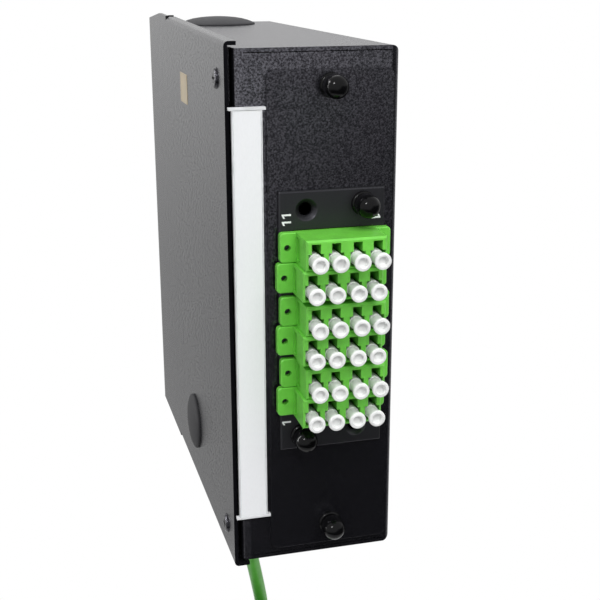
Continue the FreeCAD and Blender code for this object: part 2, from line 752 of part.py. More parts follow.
def adapter_panel():
    """Removable panel that carries the adapters, its front edges bevelled."""
    x = about(AXIS_X, PANEL_WIDTH)
    z = about(PANEL_Z, PANEL_HEIGHT)
    panel = block(x, (PANEL_FRONT, PLATE_FRONT), z)
    rim = [edge for edge in panel.Edges if edge.BoundBox.YMax < PANEL_FRONT + PANEL_SHEET / 2]
    panel = panel.makeChamfer(PANEL_EDGE, rim)
    through = (PANEL_FRONT - PANEL_SHEET, PLATE_FRONT + PANEL_SHEET)
    cuts = []
    for row in adapter_rows():
        width = BODY_WIDTH + 2 * CUTOUT_CLEARANCE
        height = BODY_HEIGHT + 2 * CUTOUT_CLEARANCE
        cuts.append(block(about(row.x, width), through, about(row.z, height)))
    for place in panel_plungers():
        start = Vector(place[0], through[0], place[1])
        cuts.append(rod(GROMMET_RADIUS + GROMMET_CLEARANCE, start, start + Vector(0, 3 * PANEL_SHEET, 0)))
    for place in panel_holes():
        mouth = Vector(place[0], PANEL_FRONT, place[1])
        cuts.append(rod(PANEL_HOLE_RADIUS, mouth, mouth + Vector(0, 2 * PANEL_SHEET, 0)))
        sink = Part.makeCone(PANEL_SINK_RADIUS, PANEL_HOLE_RADIUS, PANEL_SHEET, mouth, Vector(0, 1, 0))
        cuts.append(sink)
    return panel.cut(cuts)


def port_hollows(mouth, end):
    """The four port openings of an adapter between two planes, each with a key slot above it."""
    hollows = []
    for x in PORTS_X:
        key_z = (PORT_Z, PORT_Z + PORT_HEIGHT / 2 + KEY_HEIGHT)
        hollows.append(block(about(x, PORT_WIDTH), (mouth, end), about(PORT_Z, PORT_HEIGHT)))
        hollows.append(block(about(x, KEY_WIDTH), (mouth, end), key_z))
    return hollows


def adapter_blank():
    """One four-port adapter, centred on its flange."""
    flange = rounded_prism(
        "Y",
        about(0, FLANGE_WIDTH),
        about(0, BODY_HEIGHT),
        (FLANGE_FRONT, PANEL_FRONT),
        FLANGE_CORNER,
    )
    outline = [edge for edge in flange.Edges if edge.BoundBox.YMax < FLANGE_FRONT + FLANGE / 2]
    flange = flange.makeChamfer(FLANGE_EDGE, outline)
    body = block(about(0, BODY_WIDTH), (PORT_FACE, BODY_BACK), about(0, BODY_HEIGHT))
    rim = [edge for edge in body.Edges if edge.BoundBox.YMax < PORT_FACE + BODY_EDGE]
    body = body.makeChamfer(BODY_EDGE, rim)
    adapter = joined(body, flange)
    cuts = port_hollows(PORT_FACE - BODY_EDGE, PORT_END)
    cuts += port_hollows(REAR_PORT_END, BODY_BACK + BODY_EDGE)
    for x in PORTS_X:
        bore = SLEEVE_RADIUS + SLEEVE_CLEARANCE
        cuts.append(rod(bore, Vector(x, PORT_END - PAST, PORT_Z), Vector(x, REAR_PORT_END + PAST, PORT_Z)))
    for side in (-1, 1):
        x = side * (FLANGE_WIDTH / 2 - FLANGE_HOLE_INSET)
        start = Vector(x, FLANGE_FRONT - PAST, 0)
        cuts.append(rod(FLANGE_HOLE_RADIUS, start, start + Vector(0, FLANGE + 2 * PAST, 0)))
        slot_x = about(side * BODY_WIDTH / 2, 2 * SIDE_SLOT_DEPTH)
        slot_y = (FLANGE_FRONT - SIDE_SLOT_GAP - SIDE_SLOT, FLANGE_FRONT - SIDE_SLOT_GAP)
        cuts.append(block(slot_x, slot_y, about(0, BODY_HEIGHT - 2 * SIDE_SLOT_END)))
    return adapter.cut(cuts)


def dust_cap(x):
    """A cap: a round head with a shallow hollow, a thinner neck and a stem inside the port."""
    head = CAP_HEAD_RADIUS
    stem = min(PORT_HEIGHT, PORT_WIDTH) / 2 - CAP_STEM_CLEARANCE
    profile = [
        (CAP_BORE_RADIUS, 0.0),
        (head - CAP_EDGE, 0.0),
        ((head - 0.3 * CAP_EDGE, 0.3 * CAP_EDGE), (head, CAP_EDGE)),
        (head, CAP_HEAD),
        (CAP_NECK_RADIUS, CAP_HEAD + CAP_TAPER),
        (CAP_NECK_RADIUS, CAP_REACH + CAP_NECK_SINK),
        (stem, CAP_REACH + CAP_NECK_SINK),
        (stem, CAP_REACH + CAP_DEPTH),
        (0.0, CAP_REACH + CAP_DEPTH),
        (0.0, CAP_BORE_DEPTH),
        (CAP_BORE_RADIUS, CAP_BORE_DEPTH),
    ]
    return turned(profile, Vector(x, PORT_FACE - CAP_REACH, PORT_Z), Vector(0, 1, 0))


def inner_plug(x):
    """One fibre plug behind an adapter: nose, body, tapered boot and ferrule."""
    size = min(PORT_WIDTH, PORT_HEIGHT) - 2 * NOSE_CLEARANCE
    nose_front = BODY_BACK - NOSE_LENGTH
    body_front = BODY_BACK + PLUG_FACE_GAP
    body_back = body_front + PLUG_BODY_LENGTH
    nose = block(about(x, size), (nose_front, body_front), about(PORT_Z, size))
    body_z = (PORT_Z - PORT_HEIGHT / 2, PORT_Z - PORT_HEIGHT / 2 + PLUG_BODY_HEIGHT)
    body = block(about(x, PLUG_BODY_WIDTH), (body_front, body_back), body_z)
    neck = Vector(x, body_back, PORT_Z)
    boot = Part.makeCone(BOOT_RADIUS, BOOT_TIP_RADIUS, BOOT_LENGTH, neck, Vector(0, 1, 0))
    tip = Vector(x, nose_front - FERRULE_LENGTH, PORT_Z)
    ferrule = rod(FERRULE_RADIUS, tip, Vector(x, nose_front, PORT_Z))
    return joined(nose, body, boot, ferrule)


def alignment_sleeves():
    """The thin sleeves in the middle of the adapters, where the fibres meet."""
    sleeves = []
    for row in adapter_rows():
        for x in PORTS_X:
            start = Vector(row.x + x, PORT_END, row.z + PORT_Z)
            end = Vector(row.x + x, REAR_PORT_END, row.z + PORT_Z)
            sleeves.append(rod(SLEEVE_RADIUS, start, end).cut(rod(SLEEVE_BORE, start, end)))
    return group(sleeves)


def pigtail_ends():
    """Where each pigtail starts behind its plug and where it enters the splice tray."""
    ends = []
    for row in adapter_rows():
        for index, x in enumerate(PORTS_X):
            step = PIGTAIL_SPACING * (index - (len(PORTS_X) - 1) / 2)
            start = Vector(row.x + x, PLUG_BACK, row.z + PORT_Z)
            ends.append((start, Vector(TRAY_MIDDLE_X, TRAY_FRONT, row.z + step)))
    return ends


def pigtails():
    """The fibres from the plugs to the splice tray."""
    fibres = []
    for start, end in pigtail_ends():
        away = Vector(0, PIGTAIL_STRAIGHT, 0)
        inside = end + Vector(0, TRAY_WALL + loop_margin() - PIGTAIL_LOOP_GAP, 0)
        path, radii = cord_path([start, start + away, end - away, inside])
        ring = Part.Wire(Part.Circle(start, away, PIGTAIL_RADIUS).toShape())
        fibres.append(path.makePipeShell([ring], True, False))
    return group(fibres)


def fastener_pieces(x, z, face, sheets):
    """A push-pull fastener through some sheets: its grommet and its plunger."""
    reach = sheets + GROMMET_REACH
    bore = PIN_RADIUS + PIN_CLEARANCE
    grommet_profile = [
        (bore, -GROMMET_FLANGE),
        (GROMMET_FLANGE_RADIUS - GROMMET_EDGE, -GROMMET_FLANGE),
        ((GROMMET_FLANGE_RADIUS - 0.2 * GROMMET_EDGE, -0.75 * GROMMET_FLANGE), (GROMMET_FLANGE_RADIUS, 0.0)),
        (GROMMET_RADIUS, 0.0),
        (GROMMET_RADIUS, reach),
        (bore, reach),
    ]
    base = Vector(x, face, z)
    grommet = turned(grommet_profile, base, Vector(0, 1, 0))
    legs = (face + sheets, face + reach + PAST)
    wide = 2 * (GROMMET_RADIUS + PAST)
    upright = block(about(x, GROMMET_SLOT), legs, about(z, wide))
    level = block(about(x, wide), legs, about(z, GROMMET_SLOT))
    grommet = grommet.cut([upright, level])
    under = -GROMMET_FLANGE - KNOB_GAP
    bulge = under - KNOB_BULGE
    crown = bulge - KNOB_STRAIGHT
    top = under - KNOB_HEIGHT
    plunger_profile = [
        (0.0, top),
        ((KNOB_RADIUS * 0.72, 0.75 * top + 0.25 * crown), (KNOB_RADIUS, crown)),
        (KNOB_RADIUS, bulge),
        (KNOB_NECK, under),
        (PIN_RADIUS, under),
        (PIN_RADIUS, reach + PIN_TIP),
        (0.0, reach + PIN_TIP),
    ]
    return grommet, turned(plunger_profile, base, Vector(0, 1, 0))


def label_holder():
    """Slim channel for the label, with wider tabs at its ends."""
    z = (BOTTOM + LABEL_BOTTOM_MARGIN, TOP - LABEL_TOP_MARGIN)
    y = (FRONT - HOLDER_THICK, FRONT)
    x = (LEFT + HOLDER_INSET, PLATE_LEFT - HOLDER_PLATE_GAP)
    tab_x = (LEFT - TAB_OVERHANG, PLATE_LEFT - TAB_PLATE_GAP)
    strip = block(x, y, z)
    low = block(tab_x, y, (z[0], z[0] + HOLDER_TAB))
    high = block(tab_x, y, (z[1] - HOLDER_TAB, z[1]))
    recess = block(
        (x[0] + HOLDER_RIM, x[1] - HOLDER_RIM),
        (FRONT - HOLDER_THICK - PAST, FRONT - HOLDER_THICK + LABEL_RECESS),
        (z[0] + HOLDER_TAB, z[1] - HOLDER_TAB),
    )
    return joined(strip, low, high).cut(recess)


def label_strip():
    """Blank paper label in the holder."""
    margin = HOLDER_RIM + LABEL_CLEARANCE
    floor = FRONT - HOLDER_THICK + LABEL_RECESS
    end = HOLDER_TAB + LABEL_CLEARANCE
    return block(
        (LEFT + HOLDER_INSET + margin, PLATE_LEFT - HOLDER_PLATE_GAP - margin),
        (floor - LABEL_THICK, floor),
        (BOTTOM + LABEL_BOTTOM_MARGIN + end, TOP - LABEL_TOP_MARGIN - end),
    )


def stud_places():
    """Places of the two studs that carry the splice tray."""
    return [Vector(TRAY_OUT, TRAY_REAR - STUD_INSET, side * (TRAY_END - STUD_INSET)) for side in (-1, 1)]


def splice_tray():
    """Shallow tray on the right wall, open to the left, with inlets for the fibres."""
    y = (TRAY_FRONT, TRAY_REAR)
    z = (-TRAY_END, TRAY_END)
    outer = rounded_prism("X", y, z, (TRAY_IN, TRAY_OUT), TRAY_CORNER)
    inner_y = (y[0] + TRAY_WALL, y[1] - TRAY_WALL)
    inner_z = (z[0] + TRAY_WALL, z[1] - TRAY_WALL)
    inner_x = (TRAY_IN - PAST, TRAY_OUT - TRAY_WALL)
    hollow = rounded_prism("X", inner_y, inner_z, inner_x, TRAY_CORNER - TRAY_WALL)
    cuts = [hollow]
    slot_x = (TRAY_IN - PAST, TRAY_MIDDLE_X + PIGTAIL_RADIUS + PIGTAIL_CLEARANCE)
    slot_height = (len(PORTS_X) - 1) * PIGTAIL_SPACING + 2 * (PIGTAIL_RADIUS + PIGTAIL_CLEARANCE)
    for row in adapter_rows():
        cuts.append(block(slot_x, (y[0] - PAST, y[0] + 2 * TRAY_WALL), about(row.z, slot_height)))
    inlet = BUFFER_RADIUS + BUFFER_CLEARANCE
    inlet_x = (TRAY_IN - PAST, TRAY_MIDDLE_X + inlet)
    cuts.append(block(inlet_x, about(GLAND_Y, 2 * inlet), (TRAY_END - 2 * TRAY_WALL, TRAY_END + PAST)))
    for place in stud_places():
        hole = STUD_RADIUS + STUD_CLEARANCE
        cuts.append(rod(hole, place - Vector(2 * TRAY_WALL, 0, 0), place + Vector(PAST, 0, 0)))
    return outer.cut(cuts)


def splice_lid():
    """Flat cover on the splice tray."""
    x = (TRAY_IN - LID_GAP - LID_THICK, TRAY_IN - LID_GAP)
    return rounded_prism("X", (TRAY_FRONT, TRAY_REAR), (-TRAY_END, TRAY_END), x, TRAY_CORNER)


def tray_studs():
    """The two studs welded to the right wall, inside the tray's holes."""
    wall = Vector(TRAY_WALL_GAP, 0, 0)
    reach = Vector(STUD_REACH, 0, 0)
    return group([rod(STUD_RADIUS, place - reach, place + wall) for place in stud_places()])


def loop_limits(margin):
    """The outline of the fibre loops, at a distance from the tray's walls."""
    inset = TRAY_WALL + margin
    return (TRAY_FRONT + inset, TRAY_REAR - inset), (inset - TRAY_END, TRAY_END - inset)


def loop_margin():
    """The loops stay clear of the studs and of the fibre ends."""
    return max(LOOP_MARGIN, STUD_INSET + STUD_RADIUS - TRAY_WALL + LOOP_STUD_GAP)


def fibre_loops():
    """The stored fibre loops, as one band inside the tray, with bends no larger than its sides allow."""
    x = about(TRAY_MIDDLE_X, LOOP_THICK)
    y, z = loop_limits(loop_margin())
    corner = min(LOOP_CORNER, (min(y[1] - y[0], z[1] - z[0]) - LOOP_STRAIGHT) / 2)
    outer = rounded_prism("X", y, z, x, corner)
    inner_y, inner_z = loop_limits(loop_margin() + LOOP_BAND)
    inner = rounded_prism("X", inner_y, inner_z, (x[0] - PAST, x[1] + PAST), corner - LOOP_BAND)
    return outer.cut(inner)


def splice_count():
    """How many splices lie side by side in the room that the loops leave."""
    room = loop_limits(loop_margin() + LOOP_BAND + HOLDER_LOOP_GAP)[0]
    return min(SPLICES_IN_LAYER, int((room[1] - room[0]) / SPLICE_PITCH))


def splice_places():
    """Depths of the splices, in the middle of the tray."""
    middle = (TRAY_FRONT + TRAY_REAR) / 2
    count = splice_count()
    return [middle + SPLICE_PITCH * (index - (count - 1) / 2) for index in range(count)]


def splice_holder():
    """Comb that holds the splice sleeves in two layers."""
    floor = TRAY_OUT - TRAY_WALL
    crest = floor - HOLDER_BASE - 4 * (SPLICE_RADIUS + SPLICE_CLEARANCE)
    places = splice_places()
    y = (places[0] - SPLICE_PITCH / 2, places[-1] + SPLICE_PITCH / 2)
    comb = block((crest, floor), y, about(0, HOLDER_LENGTH))
    width = 2 * (SPLICE_RADIUS + SPLICE_CLEARANCE)
    groove_x = (crest - PAST, floor - HOLDER_BASE)
    groove_z = about(0, HOLDER_LENGTH + 2 * PAST)
    grooves = [block(groove_x, about(at, width), groove_z) for at in places]
    return comb.cut(grooves)


def splice_sleeves():
    """The splice protection sleeves, two in each groove."""
    floor = TRAY_OUT - TRAY_WALL - HOLDER_BASE
    sleeves = []
    for layer in (1, 3):
        x = floor - layer * (SPLICE_RADIUS + SPLICE_CLEARANCE)
        for at in splice_places():
            start = Vector(x, at, -SPLICE_LENGTH / 2)
            sleeves.append(rod(SPLICE_RADIUS, start, start + Vector(0, 0, SPLICE_LENGTH)))
    return group(sleeves)


def gland_body():
    """Cable gland body: thread through the bottom wall, a collar under it and a neck for the cap."""
    at = Vector(0, GLAND_Y, BOTTOM)
    inside = at + Vector(0, 0, SHEET + GLAND_INSIDE)
    under = at - Vector(0, 0, GLAND_COLLAR)
    end = under - Vector(0, 0, GLAND_NECK)
    thread = rod(GLAND_THREAD_RADIUS, at, inside)
    collar = hexagon(GLAND_COLLAR_RADIUS, under, GLAND_COLLAR)
    neck = rod(GLAND_NECK_RADIUS, end, under)
    bore = rod(GLAND_BORE_RADIUS, end - Vector(0, 0, PAST), inside + Vector(0, 0, PAST))
    return joined(collar, thread, neck).cut(bore)


def gland_locknut():
    """Nut on the gland's thread, inside the bottom wall."""
    seat = Vector(0, GLAND_Y, BOTTOM + SHEET)
    bore = GLAND_THREAD_RADIUS + GLAND_CLEARANCE
    thread = rod(bore, seat - Vector(0, 0, PAST), seat + Vector(0, 0, LOCKNUT + PAST))
    return hexagon(LOCKNUT_RADIUS, seat, LOCKNUT).cut(thread)


def gland_seal():
    """Rubber seal between the gland body and the cable."""
    end = Vector(0, GLAND_Y, BOTTOM - GLAND_COLLAR - GLAND_NECK)
    top = end + Vector(0, 0, SEAL_LENGTH)
    ring = rod(GLAND_BORE_RADIUS - CABLE_CLEARANCE, end, top)
    return ring.cut(rod(CABLE_RADIUS + CABLE_CLEARANCE, end, top))


def gland_cap():
    """Dome nut under the gland body, round the cable."""
    mouth = GLAND_NECK_RADIUS + GLAND_CLEARANCE
    hole = CABLE_RADIUS + GLAND_CAP_EXIT
    depth = GLAND_NECK + GLAND_CLEARANCE
    shoulder = (GLAND_CAP_RADIUS + GLAND_CAP_TIP) / 2 + GLAND_CAP_BULGE
    profile = [
        (mouth, 0.0),
        (GLAND_CAP_RADIUS, 0.0),
        (GLAND_CAP_RADIUS, 0.62 * GLAND_CAP_LENGTH),
        ((shoulder, 0.88 * GLAND_CAP_LENGTH), (GLAND_CAP_TIP, GLAND_CAP_LENGTH)),
        (hole, GLAND_CAP_LENGTH),
        (hole, depth),
        (mouth, depth),
    ]
    seat = Vector(0, GLAND_Y, BOTTOM - GLAND_COLLAR - GLAND_CAP_GAP)
    return turned(profile, seat, Vector(0, 0, -1))


def cable_inside():
    """The cable's straight run inside the gland and the box."""
    top = BREAKOUT_TOP - BREAKOUT_LENGTH + BREAKOUT_GRIP
    return rod(CABLE_RADIUS, Vector(0, GLAND_Y, CABLE_EXIT), Vector(0, GLAND_Y, top))


def breakout_boot():
    """Moulded boot where the cable's jacket ends and the fibre tube goes on."""
    grip = CABLE_RADIUS + CABLE_CLEARANCE
    profile = [
        (grip, 0.0),
        (BREAKOUT_RADIUS, 0.0),
        (BREAKOUT_RADIUS, 0.7 * BREAKOUT_LENGTH),
        (BUFFER_RADIUS + BREAKOUT_TIP_WALL, BREAKOUT_LENGTH),
        (0.0, BREAKOUT_LENGTH),
        (0.0, BREAKOUT_GRIP),
        (grip, BREAKOUT_GRIP),
    ]
    return turned(profile, Vector(0, GLAND_Y, BREAKOUT_TOP - BREAKOUT_LENGTH), Vector(0, 0, 1))


def buffer_tube():
    """The fibre tube from the boot over the tray's edge."""
    return tube_along("buffer_tube", BUFFER_ROUTE, BUFFER_RADIUS)


def cable_tail():
    """The hanging cable from the gland down to the coil."""
    return tube_along("cable_tail", TAIL_ROUTE, CABLE_RADIUS)


def cable_coil():
    """The outer shape of the put-away coil, a ring that stands upright."""
    side = Vector(COIL_X - COIL_HALF, COIL_Y, COIL_Z)
    across = side + Vector(2 * COIL_HALF, 0, 0)
    return rod(COIL_OUT, side, across).cut(rod(COIL_IN, side, across))


def cable_end():
    """The cable's last stretch, from the coil to the pulling cap."""
    return tube_along("cable_end", END_ROUTE, CABLE_RADIUS)


def coil_tie():
    """Strap round the coil at its front."""
    y = (COIL_Y - COIL_OUT - TIE_GAP, COIL_Y - COIL_IN + TIE_GAP)
    x = (COIL_X - COIL_HALF - TIE_GAP, COIL_X + COIL_HALF + TIE_GAP)
    z = about(COIL_Z, TIE_WIDTH)
    out = rounded_prism(
        "Z",
        (x[0] - TIE_THICK, x[1] + TIE_THICK),
        (y[0] - TIE_THICK, y[1] + TIE_THICK),
        z,
        2 * TIE_THICK,
    )
    return out.cut(rounded_prism("Z", x, y, (z[0] - PAST, z[1] + PAST), TIE_GAP))


def pull_cap():
    """Pulling cap on the cable's far end, with a flat eye."""
    start = END_ROUTE[-1]
    down = END_ROUTE[-1] - END_ROUTE[-2]
    down.normalize()
    round_middle = (PULL_CAP_RADIUS - 0.3 * PULL_CAP_NOSE_STEP, PULL_CAP_LENGTH - PULL_CAP_NOSE / 3)
    profile = [
        (0.0, 0.0),
        (PULL_CAP_RADIUS - PULL_CAP_EDGE, 0.0),
        (PULL_CAP_RADIUS, PULL_CAP_EDGE),
        (PULL_CAP_RADIUS, PULL_CAP_LENGTH - PULL_CAP_NOSE),
        (round_middle, (PULL_CAP_RADIUS - PULL_CAP_NOSE_STEP, PULL_CAP_LENGTH)),
        (0.0, PULL_CAP_LENGTH),
    ]
    cap = turned(profile, Vector(0, 0, 0), Vector(0, 0, 1))
    radius = PULL_CAP_EYE / 2
    middle = PULL_CAP_LENGTH + radius - PULL_CAP_NOSE / 3
    thick = about(0, PULL_CAP_EYE_THICK)
    eye = rod(radius, Vector(thick[0], 0, middle), Vector(thick[1], 0, middle))
    web = block(thick, about(0, PULL_CAP_EYE * 0.7), (PULL_CAP_LENGTH - PULL_CAP_NOSE_STEP, middle))
    hole = rod(PULL_CAP_EYE_RADIUS, Vector(-PULL_CAP_EYE, 0, middle), Vector(PULL_CAP_EYE, 0, middle))
    cap = joined(cap, web, eye).cut(hole)
    cap.Placement = FreeCAD.Placement(start, FreeCAD.Rotation(Vector(0, 0, 1), down))
    return cap


def foot_channel():
    """Front and rear limits of the foot, inside the clip."""
    rear = -FOOT_REAR_WALL
    return (rear - FOOT_THICK, rear)


def din_clip():
    """Rail clip on the rear wall: a fixed hook over a relief above, and a channel for the foot below."""
    half = RAIL_HEIGHT / 2
    x = about(0, CLIP_WIDTH)
    low = -half - CLIP_BELOW
    seat_top = half + RAIL_CLEARANCE
    hook_front = RAIL_SHEET + RAIL_CLEARANCE
    hook_back = hook_front + HOOK_BEHIND
    base = block(x, (BACK, 0), (low, seat_top + HOOK_ABOVE))
    arm = block(x, (0, hook_back), (seat_top, seat_top + HOOK_ABOVE))
    hook = block(x, (hook_front, hook_back), (half - HOOK_OVERLAP, seat_top))
    front, rear = foot_channel()
    channel_y = (front - FOOT_CLEARANCE, rear + FOOT_CLEARANCE)
    channel_x = about(0, FOOT_WIDTH + 2 * FOOT_CLEARANCE)
    channel = block(channel_x, channel_y, (low - PAST, FOOT_INSIDE + SPRING_ROOM - half))
    mouth_top = FOOT_OVERLAP + RAIL_CLEARANCE - half
    mouth = block(channel_x, (rear - PAST, PAST), (low - PAST, mouth_top))
    relief = block(x, (-HOOK_RELIEF, 0), (half - HOOK_OVERLAP - RAIL_CLEARANCE, seat_top))
    cuts = [channel, mouth, relief]
    for side in (-CLIP_SCREW_X, CLIP_SCREW_X):
        start = Vector(side, BACK - PAST, CLIP_SCREW_Z)
        deep = Vector(0, CLIP_SCREW_REACH + 2 * PAST, 0)
        cuts.append(rod(CLIP_SCREW_RADIUS + SCREW_CLEARANCE, start, start + deep))
    return joined(base, arm, hook).cut(cuts)


def din_foot():
    """Sliding foot: a flat bar in the clip, a tooth behind the rail's lower edge and a pull tab."""
    half = RAIL_HEIGHT / 2
    y = foot_channel()
    x = about(0, FOOT_WIDTH)
    low = -half - CLIP_BELOW - FOOT_TAB
    under = -half - RAIL_CLEARANCE
    hook_front = RAIL_SHEET + RAIL_CLEARANCE
    hook_back = hook_front + HOOK_BEHIND
    bar = block(x, y, (low, FOOT_INSIDE - half))
    tooth = block(x, (y[1] - PAST, hook_back), (under - FOOT_TOOTH, under))
    catch = block(x, (hook_front, hook_back), (under - PAST, FOOT_OVERLAP - half))
    slot_z = (low + FOOT_SLOT_EDGE, low + FOOT_SLOT_EDGE + FOOT_SLOT_HEIGHT)
    slot = block(about(0, FOOT_SLOT_WIDTH), (y[0] - PAST, y[1] + PAST), slot_z)
    return joined(bar, tooth, catch).cut(slot)


def din_spring():
    """Compression spring between the foot and the clip."""
    front, rear = foot_channel()
    base = Vector(0, (front + rear) / 2, FOOT_INSIDE - RAIL_HEIGHT / 2 + SPRING_WIRE + SPRING_GAP)
    height = SPRING_ROOM - 2 * (SPRING_WIRE + SPRING_GAP)
    helix = Part.makeHelix(height / SPRING_TURNS, height, SPRING_RADIUS)
    ring = Part.Wire(Part.Circle(Vector(SPRING_RADIUS, 0, 0), Vector(0, 1, 0), SPRING_WIRE).toShape())
    spring = Part.Wire(helix.Edges).makePipeShell([ring], True, True)
    spring.Placement = FreeCAD.Placement(base, FreeCAD.Rotation())
    return spring


def din_screws():
    """The two screws that hold the clip, their heads inside the box."""
    seats = [Vector(x, BACK - SHEET, CLIP_SCREW_Z) for x in (-CLIP_SCREW_X, CLIP_SCREW_X)]
    reach = SHEET + CLIP_SCREW_REACH
    return group(
        [pan_screw(seat, Vector(0, 1, 0), CLIP_SCREW_RADIUS, CLIP_SCREW_HEAD_RADIUS, reach) for seat in seats]
    )


def fasteners():
    """The four push-pull fasteners: grommets in two groups, plungers each on its own."""
    plate = [
        fastener_pieces(AXIS_X, PLATE_PLUNGER_Z, PLATE_FRONT, PLATE_SHEET + SHEET),
        fastener_pieces(AXIS_X, -PLATE_PLUNGER_Z, PLATE_FRONT, PLATE_SHEET + SHEET),
    ]
    panel = [fastener_pieces(x, z, PANEL_FRONT, PANEL_SHEET + PLATE_SHEET) for x, z in panel_plungers()]
    return {
        "front_grommets": group([plate[0][0], plate[1][0]]),
        "front_plunger_top": plate[0][1],
        "front_plunger_bottom": plate[1][1],
        "panel_grommets": group([panel[0][0], panel[1][0]]),
        "panel_plunger_top": panel[0][1],
        "panel_plunger_bottom": panel[1][1],
    }


def adapter_pieces():
    """The adapters with their caps and plugs, row by row from the top."""
    blank = adapter_blank()
    caps = group([dust_cap(x) for x in PORTS_X])
    plugs = group([inner_plug(x) for x in PORTS_X])
    pieces = {}
    for number, row in enumerate(adapter_rows(), start=1):
        for name, shape in (("lc_adapter", blank), ("dust_caps", caps), ("lc_plugs", plugs)):
            copy = shape.copy()
            copy.translate(row)
            pieces[f"{name}_{number}"] = copy
    return pieces


SINGLE_PIECES = [
    housing,
    side_cover,
    side_cover_screws,
    side_sticker,
    side_plug,
    top_plug,
    front_plate,
    adapter_panel,
    label_holder,
    label_strip,
    alignment_sleeves,
    pigtails,
    splice_tray,
    splice_lid,
    splice_holder,
    splice_sleeves,
    fibre_loops,
    tray_studs,
    gland_body,
    gland_locknut,
    gland_seal,
    gland_cap,
    cable_inside,
    breakout_boot,
    buffer_tube,
    cable_tail,
    cable_coil,
    cable_end,
    coil_tie,
    pull_cap,
    din_clip,
    din_foot,
    din_spring,
    din_screws,
]


def main():
    """Writes each piece to its own file."""
    pieces = {make.__name__: make() for make in SINGLE_PIECES}
    pieces.update(fasteners())
    pieces.update(adapter_pieces())
    os.makedirs("parts", exist_ok=True)
    for name, shape in pieces.items():
        shape.exportStep(os.path.join("parts", name + ".step"))
    print(len(pieces), "pieces")


main()
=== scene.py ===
"""Looks of a slim steel fibre box with green adapters on its front."""

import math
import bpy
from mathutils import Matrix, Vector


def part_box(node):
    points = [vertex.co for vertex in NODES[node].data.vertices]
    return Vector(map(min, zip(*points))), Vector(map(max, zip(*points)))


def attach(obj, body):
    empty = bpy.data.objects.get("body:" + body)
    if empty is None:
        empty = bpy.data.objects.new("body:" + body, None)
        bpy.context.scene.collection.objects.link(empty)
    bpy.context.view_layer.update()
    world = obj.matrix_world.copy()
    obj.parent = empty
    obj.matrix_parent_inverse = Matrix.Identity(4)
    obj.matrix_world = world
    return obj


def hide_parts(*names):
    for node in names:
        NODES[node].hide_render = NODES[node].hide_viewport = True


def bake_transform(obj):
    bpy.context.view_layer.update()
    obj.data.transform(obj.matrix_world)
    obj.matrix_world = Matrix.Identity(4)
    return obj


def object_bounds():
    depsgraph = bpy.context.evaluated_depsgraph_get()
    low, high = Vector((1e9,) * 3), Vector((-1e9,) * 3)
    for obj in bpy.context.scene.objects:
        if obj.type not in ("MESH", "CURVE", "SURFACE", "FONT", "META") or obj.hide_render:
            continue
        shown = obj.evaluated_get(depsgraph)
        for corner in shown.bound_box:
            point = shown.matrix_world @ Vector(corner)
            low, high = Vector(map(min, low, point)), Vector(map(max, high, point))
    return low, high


bl_info = {
    "name": "Rail fibre box",
    "version": (1, 0, 0),
    "blender": (4, 5, 0),
    "location": "View3D > Sidebar > Fibre box",
    "description": "Dresses the packed model of a slim fibre box",
    "category": "Object",
}

import bmesh
import bpy
from bpy.props import FloatProperty, FloatVectorProperty, IntProperty, PointerProperty
from mathutils import Matrix, Vector

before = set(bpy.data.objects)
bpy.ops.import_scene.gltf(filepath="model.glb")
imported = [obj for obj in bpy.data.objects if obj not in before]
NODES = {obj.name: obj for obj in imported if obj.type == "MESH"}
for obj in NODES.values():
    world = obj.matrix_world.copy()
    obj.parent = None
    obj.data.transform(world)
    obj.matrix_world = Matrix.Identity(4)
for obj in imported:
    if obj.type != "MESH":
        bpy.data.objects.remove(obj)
CAD_BOX = [list(corner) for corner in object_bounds()]
MM = 0.001
SMOOTH_LIMIT = math.radians(40)
ADAPTER_ROWS = range(1, 7)
PLUNGERS = ("front_plunger_top", "front_plunger_bottom", "panel_plunger_top", "panel_plunger_bottom")
PORTS_X = (-9.45, -3.3, 3.3, 9.45)
PORT_DROP = 1.675

# Turns that point a turned piece's axis, which is drawn along +Z
FACING_FRONT = Matrix.Rotation(math.radians(90), 4, "X")
FACING_LEFT = Matrix.Rotation(math.radians(-90), 4, "Y")
FACING_UP = Matrix.Identity(4)
FACING_DOWN = Matrix.Rotation(math.radians(180), 4, "X")

# The cable's route in millimetres: gland to coil, the turns as (turn, x, radius), coil to pulling cap
TAIL_ROUTE = [
    (0.0, -60.0, -102.3),
    (0.0, -60.0, -121.3),
    (1.6, -52.5, -143.3),
    (6.9, -44.5, -166.3),
    (11.6, -35.2, -188.3),
]
COIL_STATIONS = [
    (0.0, 12.9, 32.9),
    (0.5, 12.9, 32.8),
    (1.0, 13.6, 28.2),
    (1.5, 12.9, 27.0),
    (2.0, 9.2, 25.0),
    (2.5, 6.9, 27.0),
    (3.0, 3.5, 25.0),
    (3.5, 0.9, 27.0),
    (4.0, -0.1, 29.8),
    (4.5, 0.9, 33.0),
    (4.625, 0.4, 33.0),
]
COIL_CENTRE = (-60.0, -209.8)
COIL_POINTS_PER_TURN = 16
END_ROUTE = [
    (-0.9, -70.0, -180.9),
    (-2.7, -55.6, -179.2),
    (-4.7, -41.1, -184.8),
    (-7.1, -32.2, -197.6),
    (-7.7, -30.0, -212.0),
]

